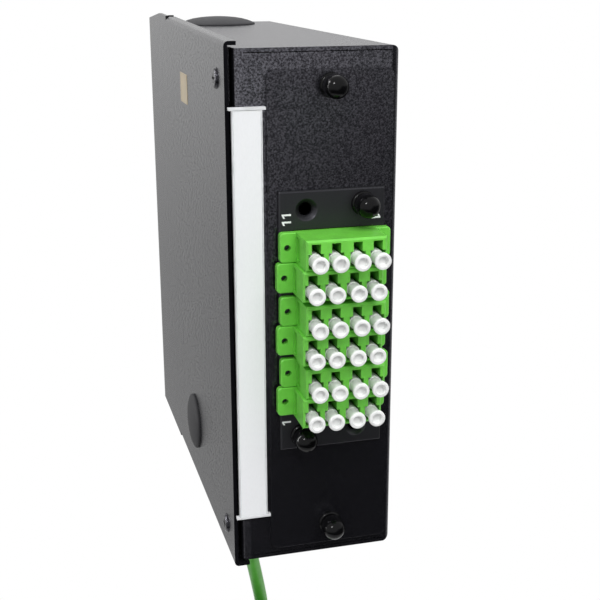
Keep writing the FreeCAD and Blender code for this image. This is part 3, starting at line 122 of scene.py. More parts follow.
# Outlines of the turned pieces, as (radius, height) in millimetres from the outer end
CAP_OUTLINE = [
    (0.0, -1.4),
    (1.2, -1.4),
    (1.36, -1.3),
    (1.45, -0.4),
    (1.52, -0.15),
    (1.66, -0.02),
    (2.2, 0.0),
    (2.4, -0.07),
    (2.52, -0.2),
    (2.56, -0.4),
    (2.55, -1.15),
    (2.42, -1.45),
    (1.98, -2.1),
    (1.9, -2.35),
    (1.9, -6.1),
    (2.15, -6.1),
    (2.15, -12.8),
    (2.0, -13.1),
    (0.0, -13.1),
]
KNOB_OUTLINE = [
    (0.0, 8.6),
    (0.9, 8.54),
    (1.7, 8.3),
    (2.4, 7.85),
    (2.95, 7.25),
    (3.35, 6.5),
    (3.55, 5.8),
    (3.6, 5.2),
    (3.6, 3.0),
    (3.5, 2.55),
    (3.2, 2.05),
    (2.85, 1.65),
    (2.7, 1.4),
    (1.3, 1.4),
]
TOP_PLUG_OUTLINE = [
    (0.0, 3.1),
    (2.5, 3.05),
    (5.0, 2.9),
    (7.5, 2.65),
    (10.0, 2.25),
    (12.4, 1.6),
    (14.0, 1.0),
    (14.8, 0.62),
    (15.06, 0.4),
    (15.1, 0.2),
    (15.0, 0.0),
    (12.9, 0.0),
    (12.9, -6.6),
    (12.5, -7.0),
    (11.4, -7.0),
    (11.4, 0.0),
    (0.0, 0.0),
]
SIDE_PLUG_OUTLINE = [
    (0.0, 2.6),
    (2.0, 2.56),
    (4.0, 2.45),
    (6.0, 2.22),
    (8.0, 1.85),
    (9.5, 1.3),
    (10.1, 0.95),
    (10.36, 0.6),
    (10.4, 0.25),
    (10.3, 0.0),
    (8.1, 0.0),
    (8.1, -6.6),
    (7.7, -7.0),
    (6.6, -7.0),
    (6.6, 0.0),
    (0.0, 0.0),
]
GLAND_CAP_OUTLINE = [
    (7.15, 0.0),
    (8.9, 0.0),
    (9.3, 0.4),
    (9.3, 1.0),
    (9.6, 1.4),
    (9.6, 8.9),
    (9.2, 9.6),
    (8.9, 10.4),
    (8.35, 12.2),
    (7.5, 13.7),
    (6.5, 14.7),
    (5.5, 15.0),
    (3.8, 15.0),
    (3.4, 14.6),
    (3.4, 8.15),
    (7.15, 8.15),
    (7.15, 0.0),
]
BOOT_OUTLINE = [
    (3.05, 0.0),
    (3.9, 0.0),
    (4.2, 0.3),
    (4.2, 18.0),
    (3.9, 18.6),
    (2.4, 26.0),
    (0.0, 26.0),
    (0.0, 10.0),
    (3.05, 10.0),
    (3.05, 0.0),
]
TOP_PLUG_PLACE = (-2.3, -29, 82)
SIDE_PLUG_PLACE = (-27.25, -94.7, -62)

# The gland's dome nut: its seat under the base in millimetres, and its grip of every third step pressed in
GLAND_PLACE = (0, -60, -87.3)
GLAND_STEPS = 72
GRIP_RADIUS = 9.5
GRIP_EVERY = 3
GRIP_SCALE = 0.945

# A digit one, upright from its foot, as (x, height) in millimetres
ONE_OUTLINE = [
    (-0.28, 0.0),
    (0.28, 0.0),
    (0.28, 2.9),
    (-0.1, 2.9),
    (-1.0, 2.4),
    (-1.0, 1.85),
    (-0.28, 2.25),
]
# The printed numbers: name, turn in degrees, and the digits' feet as (x, z) in millimetres
PANEL_NUMBERS = (
    ("port_number_top", 90, [(-8.8, 31.05), (-8.8, 33.25)]),
    ("port_number_right", -90, [(16.5, 31.0)]),
    ("port_number_low", 90, [(-9.2, -33.4)]),
)
INK_THICKNESS = 0.02

# The foot's spring in millimetres
SPRING_WIRE = 0.3
SPRING_RADIUS = 1.7
SPRING_TURNS = 5
SPRING_STEPS_PER_TURN = 24

# The fibres in millimetres: pigtails from the plugs to the tray, and the laps stored in three layers
FIBRE_RADIUS = 0.45
PIGTAIL_STATIONS = (-137.0, -131.0, -117.0, -103.7)
PIGTAIL_SPACING = 1.05
LOOP_LAYERS = (-0.9, 0.0, 0.9)
LOOP_LAPS = 6
LOOP_INSET = 0.5
LOOP_STEP = 0.98
OUTER_LAYER_INSET = 0.2
LOOP_CORNER = 24

# Tint of the light that the coat's grains give back
CREST_TINT = (0.89, 0.88, 1.0)

# The camera's place in metres and its axes, and the point that the lamps are aimed at
CAMERA_PLACE = (-0.08965, -0.47962, 0.10408)
CAMERA_RIGHT = (0.96521, -0.26145, -0.00318)
CAMERA_UP = (0.07902, 0.2801, 0.95671)
CAMERA_BACK = (-0.24925, -0.92368, 0.29101)
LAMP_TARGET = (0, -0.09, 0)

# The floor's radius in metres, and where it fades into the white room
FLOOR_RADIUS = 0.32
FLOOR_FADE = (0.1, 0.24)


class CoatSettings(bpy.types.PropertyGroup):
    """Powder coat on the folded sheets"""

    colour: FloatVectorProperty(
        name="Coat colour",
        description="Colour of the powder coat on the housing, cover and front plate",
        subtype="COLOR",
        min=0,
        max=1,
        default=(0.006, 0.006, 0.0075),
    )
    panel_colour: FloatVectorProperty(
        name="Panel colour",
        description="Colour of the smoother coat on the adapter panel",
        subtype="COLOR",
        min=0,
        max=1,
        default=(0.008, 0.0083, 0.009),
    )
    grain: FloatProperty(
        name="Grain size",
        description="Width of one grain of the textured coat",
        unit="LENGTH",
        min=0.0002,
        max=0.005,
        default=0.00055,
    )
    relief: FloatProperty(
        name="Grain relief",
        description="How far the grains stand out",
        unit="LENGTH",
        min=0,
        max=0.001,
        default=0.00004,
    )
    edge: FloatProperty(
        name="Edge rounding",
        description="Rounding of the plates' cut edges",
        unit="LENGTH",
        min=0,
        max=0.001,
        default=0.00025,
    )


class PlasticSettings(bpy.types.PropertyGroup):
    """Colours of the moulded pieces and the papers"""

    adapter: FloatVectorProperty(
        name="Adapter green",
        description="Colour of the adapters",
        subtype="COLOR",
        min=0,
        max=1,
        default=(0.142, 0.545, 0.054),
    )
    cap: FloatVectorProperty(
        name="Cap white",
        description="Colour of the dust caps",
        subtype="COLOR",
        min=0,
        max=1,
        default=(0.79, 0.8, 0.79),
    )
    knob: FloatVectorProperty(
        name="Knob black",
        description="Colour of the pull knobs and the other black mouldings",
        subtype="COLOR",
        min=0,
        max=1,
        default=(0.003, 0.003, 0.0034),
    )
    plug: FloatVectorProperty(
        name="Plug grey",
        description="Colour of the blanking plugs",
        subtype="COLOR",
        min=0,
        max=1,
        default=(0.035, 0.035, 0.038),
    )
    label: FloatVectorProperty(
        name="Label white",
        description="Colour of the label strip",
        subtype="COLOR",
        min=0,
        max=1,
        default=(0.8, 0.81, 0.83),
    )
    sticker: FloatVectorProperty(
        name="Sticker tan",
        description="Colour of the blank sticker on the side",
        subtype="COLOR",
        min=0,
        max=1,
        default=(0.6, 0.49, 0.32),
    )
    steps: IntProperty(
        name="Turned steps",
        description="Steps round a turned piece",
        min=12,
        max=128,
        default=40,
    )


class CableSettings(bpy.types.PropertyGroup):
    """The hanging cable"""

    jacket: FloatVectorProperty(
        name="Jacket green",
        description="Colour of the cable's jacket",
        subtype="COLOR",
        min=0,
        max=1,
        default=(0.09, 0.37, 0.046),
    )
    fibre: FloatVectorProperty(
        name="Fibre yellow",
        description="Colour of the fibres inside the box",
        subtype="COLOR",
        min=0,
        max=1,
        default=(0.72, 0.55, 0.06),
    )
    diameter: FloatProperty(
        name="Cable diameter",
        description="Diameter of the cable's jacket",
        unit="LENGTH",
        min=0.001,
        max=0.02,
        default=0.006,
    )
    length: FloatProperty(
        name="Cable length",
        description="Length of the cable outside the gland",
        unit="LENGTH",
        min=0.1,
        max=5,
        default=1.02,
    )


class StageSettings(bpy.types.PropertyGroup):
    """Camera, light and floor"""

    lens: FloatProperty(
        name="Lens",
        description="Focal length of the camera",
        unit="CAMERA",
        min=10,
        max=300,
        default=65.705,
    )
    key: FloatProperty(
        name="Key light",
        description="Power of the soft light above and in front",
        subtype="POWER",
        min=0,
        max=500,
        default=22,
    )
    side: FloatProperty(
        name="Side light",
        description="Power of the tall light at the left, which only gives highlights",
        subtype="POWER",
        min=0,
        max=500,
        default=20,
    )
    spark: FloatProperty(
        name="Spark light",
        description="Power of the small light at the upper left, which only gives highlights",
        subtype="POWER",
        min=0,
        max=500,
        default=8,
    )
    top: FloatProperty(
        name="Top light",
        description="Power of the soft light above and behind",
        subtype="POWER",
        min=0,
        max=500,
        default=4,
    )
    sky: FloatProperty(
        name="Room light",
        description="Strength of the light from all round",
        min=0,
        max=2,
        default=0.5,
    )
    floor: FloatProperty(
        name="Floor height",
        description="Height of the floor",
        unit="LENGTH",
        default=CAD_BOX[0][2] - 0.06,
    )


class FibreBoxSettings(bpy.types.PropertyGroup):
    """All settings of the fibre box"""

    coat: PointerProperty(type=CoatSettings)
    plastic: PointerProperty(type=PlasticSettings)
    cable: PointerProperty(type=CableSettings)
    stage: PointerProperty(type=StageSettings)


def plain_material(name, colour, roughness, **constants):
    """A material with one shader whose sockets hold constants."""
    material = bpy.data.materials.new(name)
    material.use_nodes = True
    shader = material.node_tree.nodes["Principled BSDF"]
    shader.inputs["Base Color"].default_value = (*colour, 1)
    shader.inputs["Roughness"].default_value = roughness
    for socket, value in constants.items():
        shader.inputs[socket.replace("_", " ")].default_value = value
    return material


def add_noise(material, size, detail=2.0, roughness=0.5, stretch=(1, 1, 1)):
    """A noise pattern of a given grain size, in the piece's own place."""
    tree = material.node_tree
    place = tree.nodes.new("ShaderNodeTexCoord")
    mapping = tree.nodes.new("ShaderNodeMapping")
    mapping.inputs["Scale"].default_value = stretch
    noise = tree.nodes.new("ShaderNodeTexNoise")
    noise.inputs["Scale"].default_value = 1 / size
    noise.inputs["Detail"].default_value = detail
    noise.inputs["Roughness"].default_value = roughness
    tree.links.new(place.outputs["Object"], mapping.inputs["Vector"])
    tree.links.new(mapping.outputs["Vector"], noise.inputs["Vector"])
    return noise


def add_bump(material, pattern, relief, strength=1.0):
    """Relief from a pattern."""
    tree = material.node_tree
    bump = tree.nodes.new("ShaderNodeBump")
    bump.inputs["Strength"].default_value = strength
    bump.inputs["Distance"].default_value = relief
    tree.links.new(pattern, bump.inputs["Height"])
    tree.links.new(bump.outputs["Normal"], tree.nodes["Principled BSDF"].inputs["Normal"])


def add_tone(material, pattern, socket, low, high, start=0.3, end=0.7):
    """Lets a pattern vary a colour or a roughness between two values."""
    tree = material.node_tree
    ramp = tree.nodes.new("ShaderNodeValToRGB")
    ramp.color_ramp.elements[0].position = start
    ramp.color_ramp.elements[1].position = end
    ramp.color_ramp.elements[0].color = (*low, 1)
    ramp.color_ramp.elements[1].color = (*high, 1)
    tree.links.new(pattern, ramp.inputs["Fac"])
    tree.links.new(ramp.outputs["Color"], tree.nodes["Principled BSDF"].inputs[socket])


def shade(colour, factor):
    """A lighter or darker tone of a colour."""
    return tuple(min(1, channel * factor) for channel in colour)


def moulded(name, colour, roughness, grain=0.004, relief=0.00002, **constants):
    """A moulded plastic with faint cloudiness and a slightly uneven surface."""
    material = plain_material(name, colour, roughness, **constants)
    cloud = add_noise(material, grain, 3)
    add_tone(material, cloud.outputs["Fac"], "Base Color", shade(colour, 0.9), shade(colour, 1.08))
    skin = add_noise(material, 0.0006, 2)
    low = (max(0, roughness - 0.05),) * 3
    high = (roughness + 0.06,) * 3
    add_tone(material, skin.outputs["Fac"], "Roughness", low, high)
    add_bump(material, skin.outputs["Fac"], relief, 0.5)
    return material


def powder_coat(name, colour, roughness, grain, relief, gloss=0.5, pits=1.0):
    """A baked powder coat: small even grains, the crests lighter and smoother, the pits duller."""
    material = plain_material(name, colour, roughness, Specular_IOR_Level=gloss, IOR=1.8)
    grains = add_noise(material, grain, 3, 0.65)
    add_tone(material, grains.outputs["Fac"], "Base Color", shade(colour, 0.8), shade(colour, 1.4), 0.4, 0.75)
    high = (roughness + 0.05,) * 3
    low = (roughness - 0.05,) * 3
    add_tone(material, grains.outputs["Fac"], "Roughness", high, low)
    add_tone(material, grains.outputs["Fac"], "Specular Tint", shade(CREST_TINT, pits), CREST_TINT, 0.4, 0.62)
    add_bump(material, grains.outputs["Fac"], relief)
    return material


def metal(name, colour, roughness, brushing=(1, 1, 1)):
    """A bare or plated metal with fine marks along one direction."""
    material = plain_material(name, colour, roughness, Metallic=1.0)
    marks = add_noise(material, 0.0008, 4, 0.6, brushing)
    low = (roughness - 0.08,) * 3
    high = (roughness + 0.1,) * 3
    add_tone(material, marks.outputs["Fac"], "Roughness", low, high)
    add_bump(material, marks.outputs["Fac"], 0.00001, 0.4)
    return material


def paper(name, colour, roughness):
    """A printed paper's fibre and faint tone."""
    material = plain_material(name, colour, roughness)
    fibres = add_noise(material, 0.0005, 4, 0.6, (1, 1, 0.35))
    add_tone(material, fibres.outputs["Fac"], "Base Color", shade(colour, 0.98), shade(colour, 1.015))
    add_bump(material, fibres.outputs["Fac"], 0.00001, 0.4)
    return material


def paint(material, *names):
    """Gives CAD nodes that stay a finished material."""
    for name in names:
        node = NODES[name]
        if not node.material_slots:
            node.data.materials.append(material)
        for slot in node.material_slots:
            slot.material = material


def linked(name, data, body, nodes):
    """A finished piece at the origin, riding on a body and standing for some nodes."""
    piece = bpy.data.objects.new(name, data)
    bpy.context.scene.collection.objects.link(piece)
    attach(piece, body)
    if nodes:
        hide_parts(*nodes)
    return piece


def mesh_piece(name, shape, material, nodes, body="box", even=False):
    """Turns a bmesh into a piece, smooth on its round faces."""
    for face in shape.faces:
        face.smooth = True
    for edge in shape.edges:
        edge.smooth = len(edge.link_faces) == 2 and edge.calc_face_angle() < SMOOTH_LIMIT
    mesh = bpy.data.meshes.new(name)
    shape.to_mesh(mesh)
    shape.free()
    mesh.materials.append(material)
    piece = linked(name, mesh, body, nodes)
    if even:
        normals = piece.modifiers.new("Even shading", "WEIGHTED_NORMAL")
        normals.keep_sharp = True
    return piece


def softened(node, width, segments=2):
    """A merged copy of a node with its sharp edges slightly rounded."""
    shape = bmesh.new()
    shape.from_mesh(NODES[node].data)
    bmesh.ops.remove_doubles(shape, verts=shape.verts, dist=1e-6)
    bmesh.ops.dissolve_limit(shape, angle_limit=math.radians(0.5), verts=shape.verts, edges=shape.edges)
    sharp = [e for e in shape.edges if len(e.link_faces) == 2 and e.calc_face_angle() > SMOOTH_LIMIT]
    bmesh.ops.bevel(
        shape,
        geom=sharp,
        offset=width,
        offset_type="OFFSET",
        affect="EDGES",
        segments=segments,
        profile=0.5,
        material=-1,
        clamp_overlap=True,
    )
    return shape


def add_turned(shape, outline, place, facing, steps):
    """Adds a piece turned from (radius, height) points in millimetres, its axis starting at a place."""
    known = set(shape.verts)
    verts = [shape.verts.new((radius * MM, 0, height * MM)) for radius, height in outline]
    edges = [shape.edges.new(pair) for pair in zip(verts, verts[1:])]
    bmesh.ops.spin(
        shape,
        geom=verts + edges,
        cent=(0, 0, 0),
        axis=(0, 0, 1),
        angle=2 * math.pi,
        steps=steps,
        use_merge=True,
    )
    added = [vert for vert in shape.verts if vert not in known]
    bmesh.ops.remove_doubles(shape, verts=added, dist=1e-7)
    added = [vert for vert in shape.verts if vert not in known]
    faces = list({face for vert in added for face in vert.link_faces})
    bmesh.ops.recalc_face_normals(shape, faces=faces)
    matrix = Matrix.Translation(Vector(place) * MM) @ facing
    bmesh.ops.transform(shape, matrix=matrix, verts=added)
    return added


def nurbs_tube(name, routes, radius, material, nodes, closed=False):
    """Round cords along smooth splines whose control points are given in millimetres."""
    curve = bpy.data.curves.new(name, "CURVE")
    curve.dimensions = "3D"
    curve.bevel_depth = radius
    curve.bevel_resolution = 4
    curve.resolution_u = 6
    curve.use_fill_caps = True
    for route in routes:
        spline = curve.splines.new("NURBS")
        spline.points.add(len(route) - 1)
        for point, place in zip(spline.points, route):
            point.co = (*(Vector(place) * MM), 1)
        spline.order_u = 3
        spline.use_endpoint_u = not closed
        spline.use_cyclic_u = closed
    curve.materials.append(material)
    return linked(name, curve, "box", nodes)


def row_places():
    """The adapters' centres across the front, in millimetres, from the top row down."""
    places = []
    for row in ADAPTER_ROWS:
        low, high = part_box(f"lc_adapter_{row}")
        places.append(((low.x + high.x) / 2 / MM, (low.z + high.z) / 2 / MM))
    return places


class FIBREBOX_OT_sheet_metal(bpy.types.Operator):
    """Coats the housing, cover and screws, with painted shade on the housing's left faces and the cover's
    front edges, and rounds the edges of the front plate and the adapter panel
    """

    bl_idname = "fibrebox.sheet_metal"
    bl_label = "Sheet metal"

    def execute(self, context):
        coat = context.scene.fibre_box.coat
        grain, relief = coat.grain, coat.relief
        textured = powder_coat("black_powder_coat", coat.colour, 0.2, grain, relief, gloss=0.62, pits=0.2)
        body = powder_coat("black_body_coat", coat.colour, 0.2, grain, relief, gloss=1.0, pits=0.2)
        cover = powder_coat("black_cover_coat", coat.colour, 0.26, grain, relief * 0.5, gloss=0.32, pits=0.4)
        panel = coat.panel_colour
        smooth = powder_coat("black_panel_coat", panel, 0.4, grain * 0.6, relief * 0.3, gloss=0.25)
        # Painted shade: the coat without any gloss, so the faces that get it render black like a shadow gap;
        # on the cover these are the sheet's cut edges, on the housing its left faces beside the cover
        cut = powder_coat("cut_edge_and_painted_shade_coat", coat.colour, 0.7, grain, relief, gloss=0.0)
        paint(cover, "side_cover_screws")
        # Painted shade goes on the housing's left-facing faces and on the cover's front-facing edges
        self.add_sheet("housing", body, cut, Vector((-1, 0, 0)))
        self.add_sheet("side_cover", cover, cut, Vector((0, -1, 0)))
        mesh_piece(
            "front_plate_sheet",
            softened("front_plate", coat.edge),
            textured,
            ["front_plate"],
            even=True,
        )
        mesh_piece(
            "adapter_panel_sheet",
            softened("adapter_panel", coat.edge / 2),
            smooth,
            ["adapter_panel"],
            even=True,
        )
        return {"FINISHED"}

    def add_sheet(self, node, coat, painted_shade_coat, painted_shade_way):
        """A merged copy of a folded sheet, with painted shade on the faces that face one way: a coat without
        gloss that renders them black like a shadow gap.
        """
        sheet = bmesh.new()
        sheet.from_mesh(NODES[node].data)
        bmesh.ops.remove_doubles(sheet, verts=sheet.verts, dist=1e-6)
        sheet.normal_update()
        for face in sheet.faces:
            # Faces that face this way get the second material, the painted shade
            face.material_index = int(face.normal.dot(painted_shade_way) > 0.9)
        piece = mesh_piece(f"{node}_sheet", sheet, coat, [node], even=True)
        piece.data.materials.append(painted_shade_coat)


class FIBREBOX_OT_panel_numbers(bpy.types.Operator):
    """Prints the port numbers on the adapter panel"""

    bl_idname = "fibrebox.panel_numbers"
    bl_label = "Panel numbers"

    def execute(self, context):
        ink = moulded("white_ink", (0.78, 0.79, 0.8), 0.5, 0.002)
        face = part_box("adapter_panel")[0].y / MM
        for name, degrees, places in PANEL_NUMBERS:
            turn = FACING_FRONT @ Matrix.Rotation(math.radians(degrees), 4, "Z")
            shape = bmesh.new()
            for x, z in places:
                matrix = Matrix.Translation(Vector((x, face, z)) * MM) @ turn
                self.add_one(shape, matrix)
            mesh_piece(name, shape, ink, [])
        return {"FINISHED"}

    def add_one(self, shape, matrix):
        """Adds one thin digit at a place."""
        verts = [shape.verts.new((x * MM, height * MM, 0)) for x, height in ONE_OUTLINE]
        flat = shape.faces.new(verts)
        raised = bmesh.ops.extrude_face_region(shape, geom=[flat])["geom"]
        lifted = [item for item in raised if isinstance(item, bmesh.types.BMVert)]
        bmesh.ops.translate(shape, vec=(0, 0, INK_THICKNESS * MM), verts=lifted)
        whole = list({face for vert in verts + lifted for face in vert.link_faces})
        bmesh.ops.recalc_face_normals(shape, faces=whole)
        bmesh.ops.transform(shape, matrix=matrix, verts=verts + lifted)


class FIBREBOX_OT_blanking_plugs(bpy.types.Operator):
    """Turns the blanking plugs in the top and in the side cover"""

    bl_idname = "fibrebox.blanking_plugs"
    bl_label = "Blanking plugs"

    def execute(self, context):
        plastic = context.scene.fibre_box.plastic
        material = moulded("plug_plastic", plastic.plug, 0.75, Specular_IOR_Level=0.25)
        top = bmesh.new()
        add_turned(top, TOP_PLUG_OUTLINE, TOP_PLUG_PLACE, FACING_UP, 2 * plastic.steps)
        mesh_piece("top_blanking_plug", top, material, ["top_plug"])
        side = bmesh.new()
        add_turned(side, SIDE_PLUG_OUTLINE, SIDE_PLUG_PLACE, FACING_LEFT, 2 * plastic.steps)
        mesh_piece("side_blanking_plug", side, material, ["side_plug"])
        return {"FINISHED"}


class FIBREBOX_OT_papers(bpy.types.Operator):
    """Finishes the label, its holder and the blank sticker"""

    bl_idname = "fibrebox.papers"
    bl_label = "Label and sticker"

    def execute(self, context):
        plastic = context.scene.fibre_box.plastic
        paint(paper("label_paper", plastic.label, 0.55), "label_strip")
        paint(paper("sticker_paper", plastic.sticker, 0.5), "side_sticker")
        holder = moulded("holder_plastic", shade(plastic.label, 0.85), 0.35)
        mesh_piece(
            "label_channel",
            softened("label_holder", 0.12 * MM),
            holder,
            ["label_holder"],
            even=True,
        )
        return {"FINISHED"}


class FIBREBOX_OT_adapters(bpy.types.Operator):
    """Finishes the adapters, their sleeves and the plugs behind them"""

    bl_idname = "fibrebox.adapters"
    bl_label = "Adapters"

    def execute(self, context):
        plastic = context.scene.fibre_box.plastic
        green = moulded("adapter_plastic", plastic.adapter, 0.33)
        paint(green, *[f"lc_adapter_{row}" for row in ADAPTER_ROWS])
        ceramic = moulded("zirconia", (0.85, 0.84, 0.8), 0.15)
        paint(ceramic, "alignment_sleeves")
        paint(green, *[f"lc_plugs_{row}" for row in ADAPTER_ROWS])
        return {"FINISHED"}


class FIBREBOX_OT_dust_caps(bpy.types.Operator):
    """Turns the dust caps, four in each adapter"""

    bl_idname = "fibrebox.dust_caps"
    bl_label = "Dust caps"

    def execute(self, context):
        plastic = context.scene.fibre_box.plastic
        white = moulded("cap_plastic", plastic.cap, 0.38)
        for row, (x, z) in zip(ADAPTER_ROWS, row_places()):
            node = f"dust_caps_{row}"
            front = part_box(node)[0].y / MM
            shape = bmesh.new()
            for port in PORTS_X:
                add_turned(shape, CAP_OUTLINE, (x + port, front, z - PORT_DROP), FACING_FRONT, plastic.steps)
            mesh_piece(f"caps_row_{row}", shape, white, [node])
        return {"FINISHED"}


class FIBREBOX_OT_pull_knobs(bpy.types.Operator):
    """Turns the pull knobs and finishes their grommets"""

    bl_idname = "fibrebox.pull_knobs"
    bl_label = "Pull knobs"

    def execute(self, context):
        plastic = context.scene.fibre_box.plastic
        gloss = moulded("knob_plastic", plastic.knob, 0.13, relief=0.00001, Specular_IOR_Level=0.15)
        collar = moulded("grommet_plastic", plastic.knob, 0.22, Specular_IOR_Level=0.15)
        paint(collar, "front_grommets", "panel_grommets")
        for name in PLUNGERS:
            low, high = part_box(name)
            middle = (low + high) / 2 / MM
            seat = low.y / MM + KNOB_OUTLINE[0][1]
            tip = seat - high.y / MM
            outline = KNOB_OUTLINE + [(1.3, tip + 0.4), (1.0, tip), (0.0, tip)]
            shape = bmesh.new()
            add_turned(shape, outline, (middle.x, seat, middle.z), FACING_FRONT, plastic.steps)
            mesh_piece(name + "_knob", shape, gloss, [name], body=name)
        return {"FINISHED"}


class FIBREBOX_OT_gland(bpy.types.Operator):
    """Turns the gland's ribbed cap and finishes the rest of the cable entry"""

    bl_idname = "fibrebox.gland"
    bl_label = "Cable gland"

    def execute(self, context):
        plastic = context.scene.fibre_box.plastic
        black = moulded("gland_plastic", shade(plastic.knob, 2.0), 0.42)
        rubber = moulded("seal_rubber", (0.015, 0.015, 0.015), 0.7)
        paint(rubber, "gland_seal")
        for node in ("gland_body", "gland_locknut"):
            shape = softened(node, 0.25 * MM)
            mesh_piece(node + "_moulding", shape, black, [node], even=True)
        cap = bmesh.new()
        added = add_turned(cap, GLAND_CAP_OUTLINE, (0, 0, 0), FACING_UP, GLAND_STEPS)
        for vert in added:
            step = round(math.atan2(vert.co.y, vert.co.x) / math.tau * GLAND_STEPS)
            if vert.co.xy.length > GRIP_RADIUS * MM and step % GRIP_EVERY == 0:
                vert.co.xy *= GRIP_SCALE
        place = Matrix.Translation(Vector(GLAND_PLACE) * MM) @ FACING_DOWN
        bmesh.ops.transform(cap, matrix=place, verts=added)
        mesh_piece("gland_dome_nut", cap, black, ["gland_cap"])
        boot = bmesh.new()
        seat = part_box("breakout_boot")[0].z / MM
        add_turned(boot, BOOT_OUTLINE, (*GLAND_PLACE[:2], seat), FACING_UP, plastic.steps)
        mesh_piece("breakout_moulding", boot, black, ["breakout_boot"])
        return {"FINISHED"}


def coil_route():
    """The coil's control points: each turn's place and radius eased between the stations."""
    grow = 1 / (0.75 + 0.25 * math.cos(math.tau / COIL_POINTS_PER_TURN))
    last = COIL_STATIONS[-1][0]
    points = []
    for step in range(round(last * COIL_POINTS_PER_TURN) + 1):
        turn = step / COIL_POINTS_PER_TURN
        for before, after in zip(COIL_STATIONS, COIL_STATIONS[1:]):
            if before[0] <= turn <= after[0]:
                share = (turn - before[0]) / (after[0] - before[0])
                ease = share * share * (3 - 2 * share)
                x = before[1] + (after[1] - before[1]) * ease
                radius = (before[2] + (after[2] - before[2]) * ease) * grow
        angle = -math.tau * turn
        back = COIL_CENTRE[0] + radius * math.cos(angle)
        points.append((x, back, COIL_CENTRE[1] + radius * math.sin(angle)))
    return points


class FIBREBOX_OT_cable(bpy.types.Operator):
    """Lays the hanging cable with its coil, tie and pulling cap"""

    bl_idname = "fibrebox.cable"
    bl_label = "Cable"

    def execute(self, context):
        settings = context.scene.fibre_box
        cable = settings.cable
        jacket = moulded("cable_jacket", cable.jacket, 0.42, 0.003, 0.00003)
        paint(jacket, "cable_inside")
        route = TAIL_ROUTE + coil_route() + END_ROUTE
        nodes = ["cable_tail", "cable_coil", "cable_end"]
        cord = nurbs_tube("fibre_cable", [route], cable.diameter / 2, jacket, nodes)
        black = moulded("tie_plastic", shade(settings.plastic.knob, 2.2), 0.6)
        tie = mesh_piece(
            "coil_strap",
            softened("coil_tie", 0.3 * MM),
            black,
            ["coil_tie"],
            even=True,
        )
        shrink = moulded("pull_cap_plastic", shade(settings.plastic.knob, 1.8), 0.35)
        cap = mesh_piece(
            "pulling_cap",
            softened("pull_cap", 0.25 * MM),
            shrink,
            ["pull_cap"],
            even=True,
        )
        return {"FINISHED"}


class FIBREBOX_OT_rail_clip(bpy.types.Operator):
    """Rounds the rail clip and its foot, and winds the foot's spring"""

    bl_idname = "fibrebox.rail_clip"
    bl_label = "Rail clip"

    def execute(self, context):
        plastic = context.scene.fibre_box.plastic
        black = moulded("clip_plastic", shade(plastic.knob, 2.0), 0.45)
        clip = softened("din_clip", 0.3 * MM)
        mesh_piece("rail_clip", clip, black, ["din_clip"], even=True)
        foot = softened("din_foot", 0.3 * MM)
        mesh_piece("rail_foot", foot, black, ["din_foot"], body="din_foot", even=True)
        paint(metal("zinc_plate", (0.62, 0.63, 0.65), 0.3), "din_screws", "tray_studs")
        low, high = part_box("din_spring")
        middle = (low + high) / 2
        mesh = self.wound_spring((0, middle.y, low.z), high.z - low.z)
        mesh.materials.append(metal("spring_wire", (0.5, 0.5, 0.52), 0.28))
        coil = bpy.data.objects.new("foot_spring", mesh)
        context.scene.collection.objects.link(coil)
        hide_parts("din_spring")
        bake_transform(coil)
        return {"FINISHED"}

    def wound_spring(self, place, length):
        """The mesh of a spring of a length that stands on a place."""
        spring = bmesh.new()
        wire = SPRING_WIRE * MM
        steps = SPRING_STEPS_PER_TURN * SPRING_TURNS
        ring = bmesh.ops.create_circle(spring, segments=10, radius=wire, cap_ends=False)["verts"]
        upright = Matrix.Rotation(math.radians(90), 4, "X")
        start = Matrix.Translation((SPRING_RADIUS * MM, 0, wire)) @ upright
        bmesh.ops.transform(spring, matrix=start, verts=ring)
        bmesh.ops.spin(
            spring,
            geom=ring + list(spring.edges),
            cent=(0, 0, 0),
            axis=(0, 0, 1),
            dvec=(0, 0, (length - 2 * wire) / steps),
            angle=math.tau * SPRING_TURNS,
            steps=steps,
        )
        bmesh.ops.holes_fill(spring, edges=[e for e in spring.edges if e.is_boundary])
        bmesh.ops.recalc_face_normals(spring, faces=spring.faces)
        bmesh.ops.transform(spring, matrix=Matrix.Translation(place), verts=spring.verts)
        for face in spring.faces:
            face.smooth = True
        mesh = bpy.data.meshes.new("foot_spring")
        spring.to_mesh(mesh)
        spring.free()
        return mesh


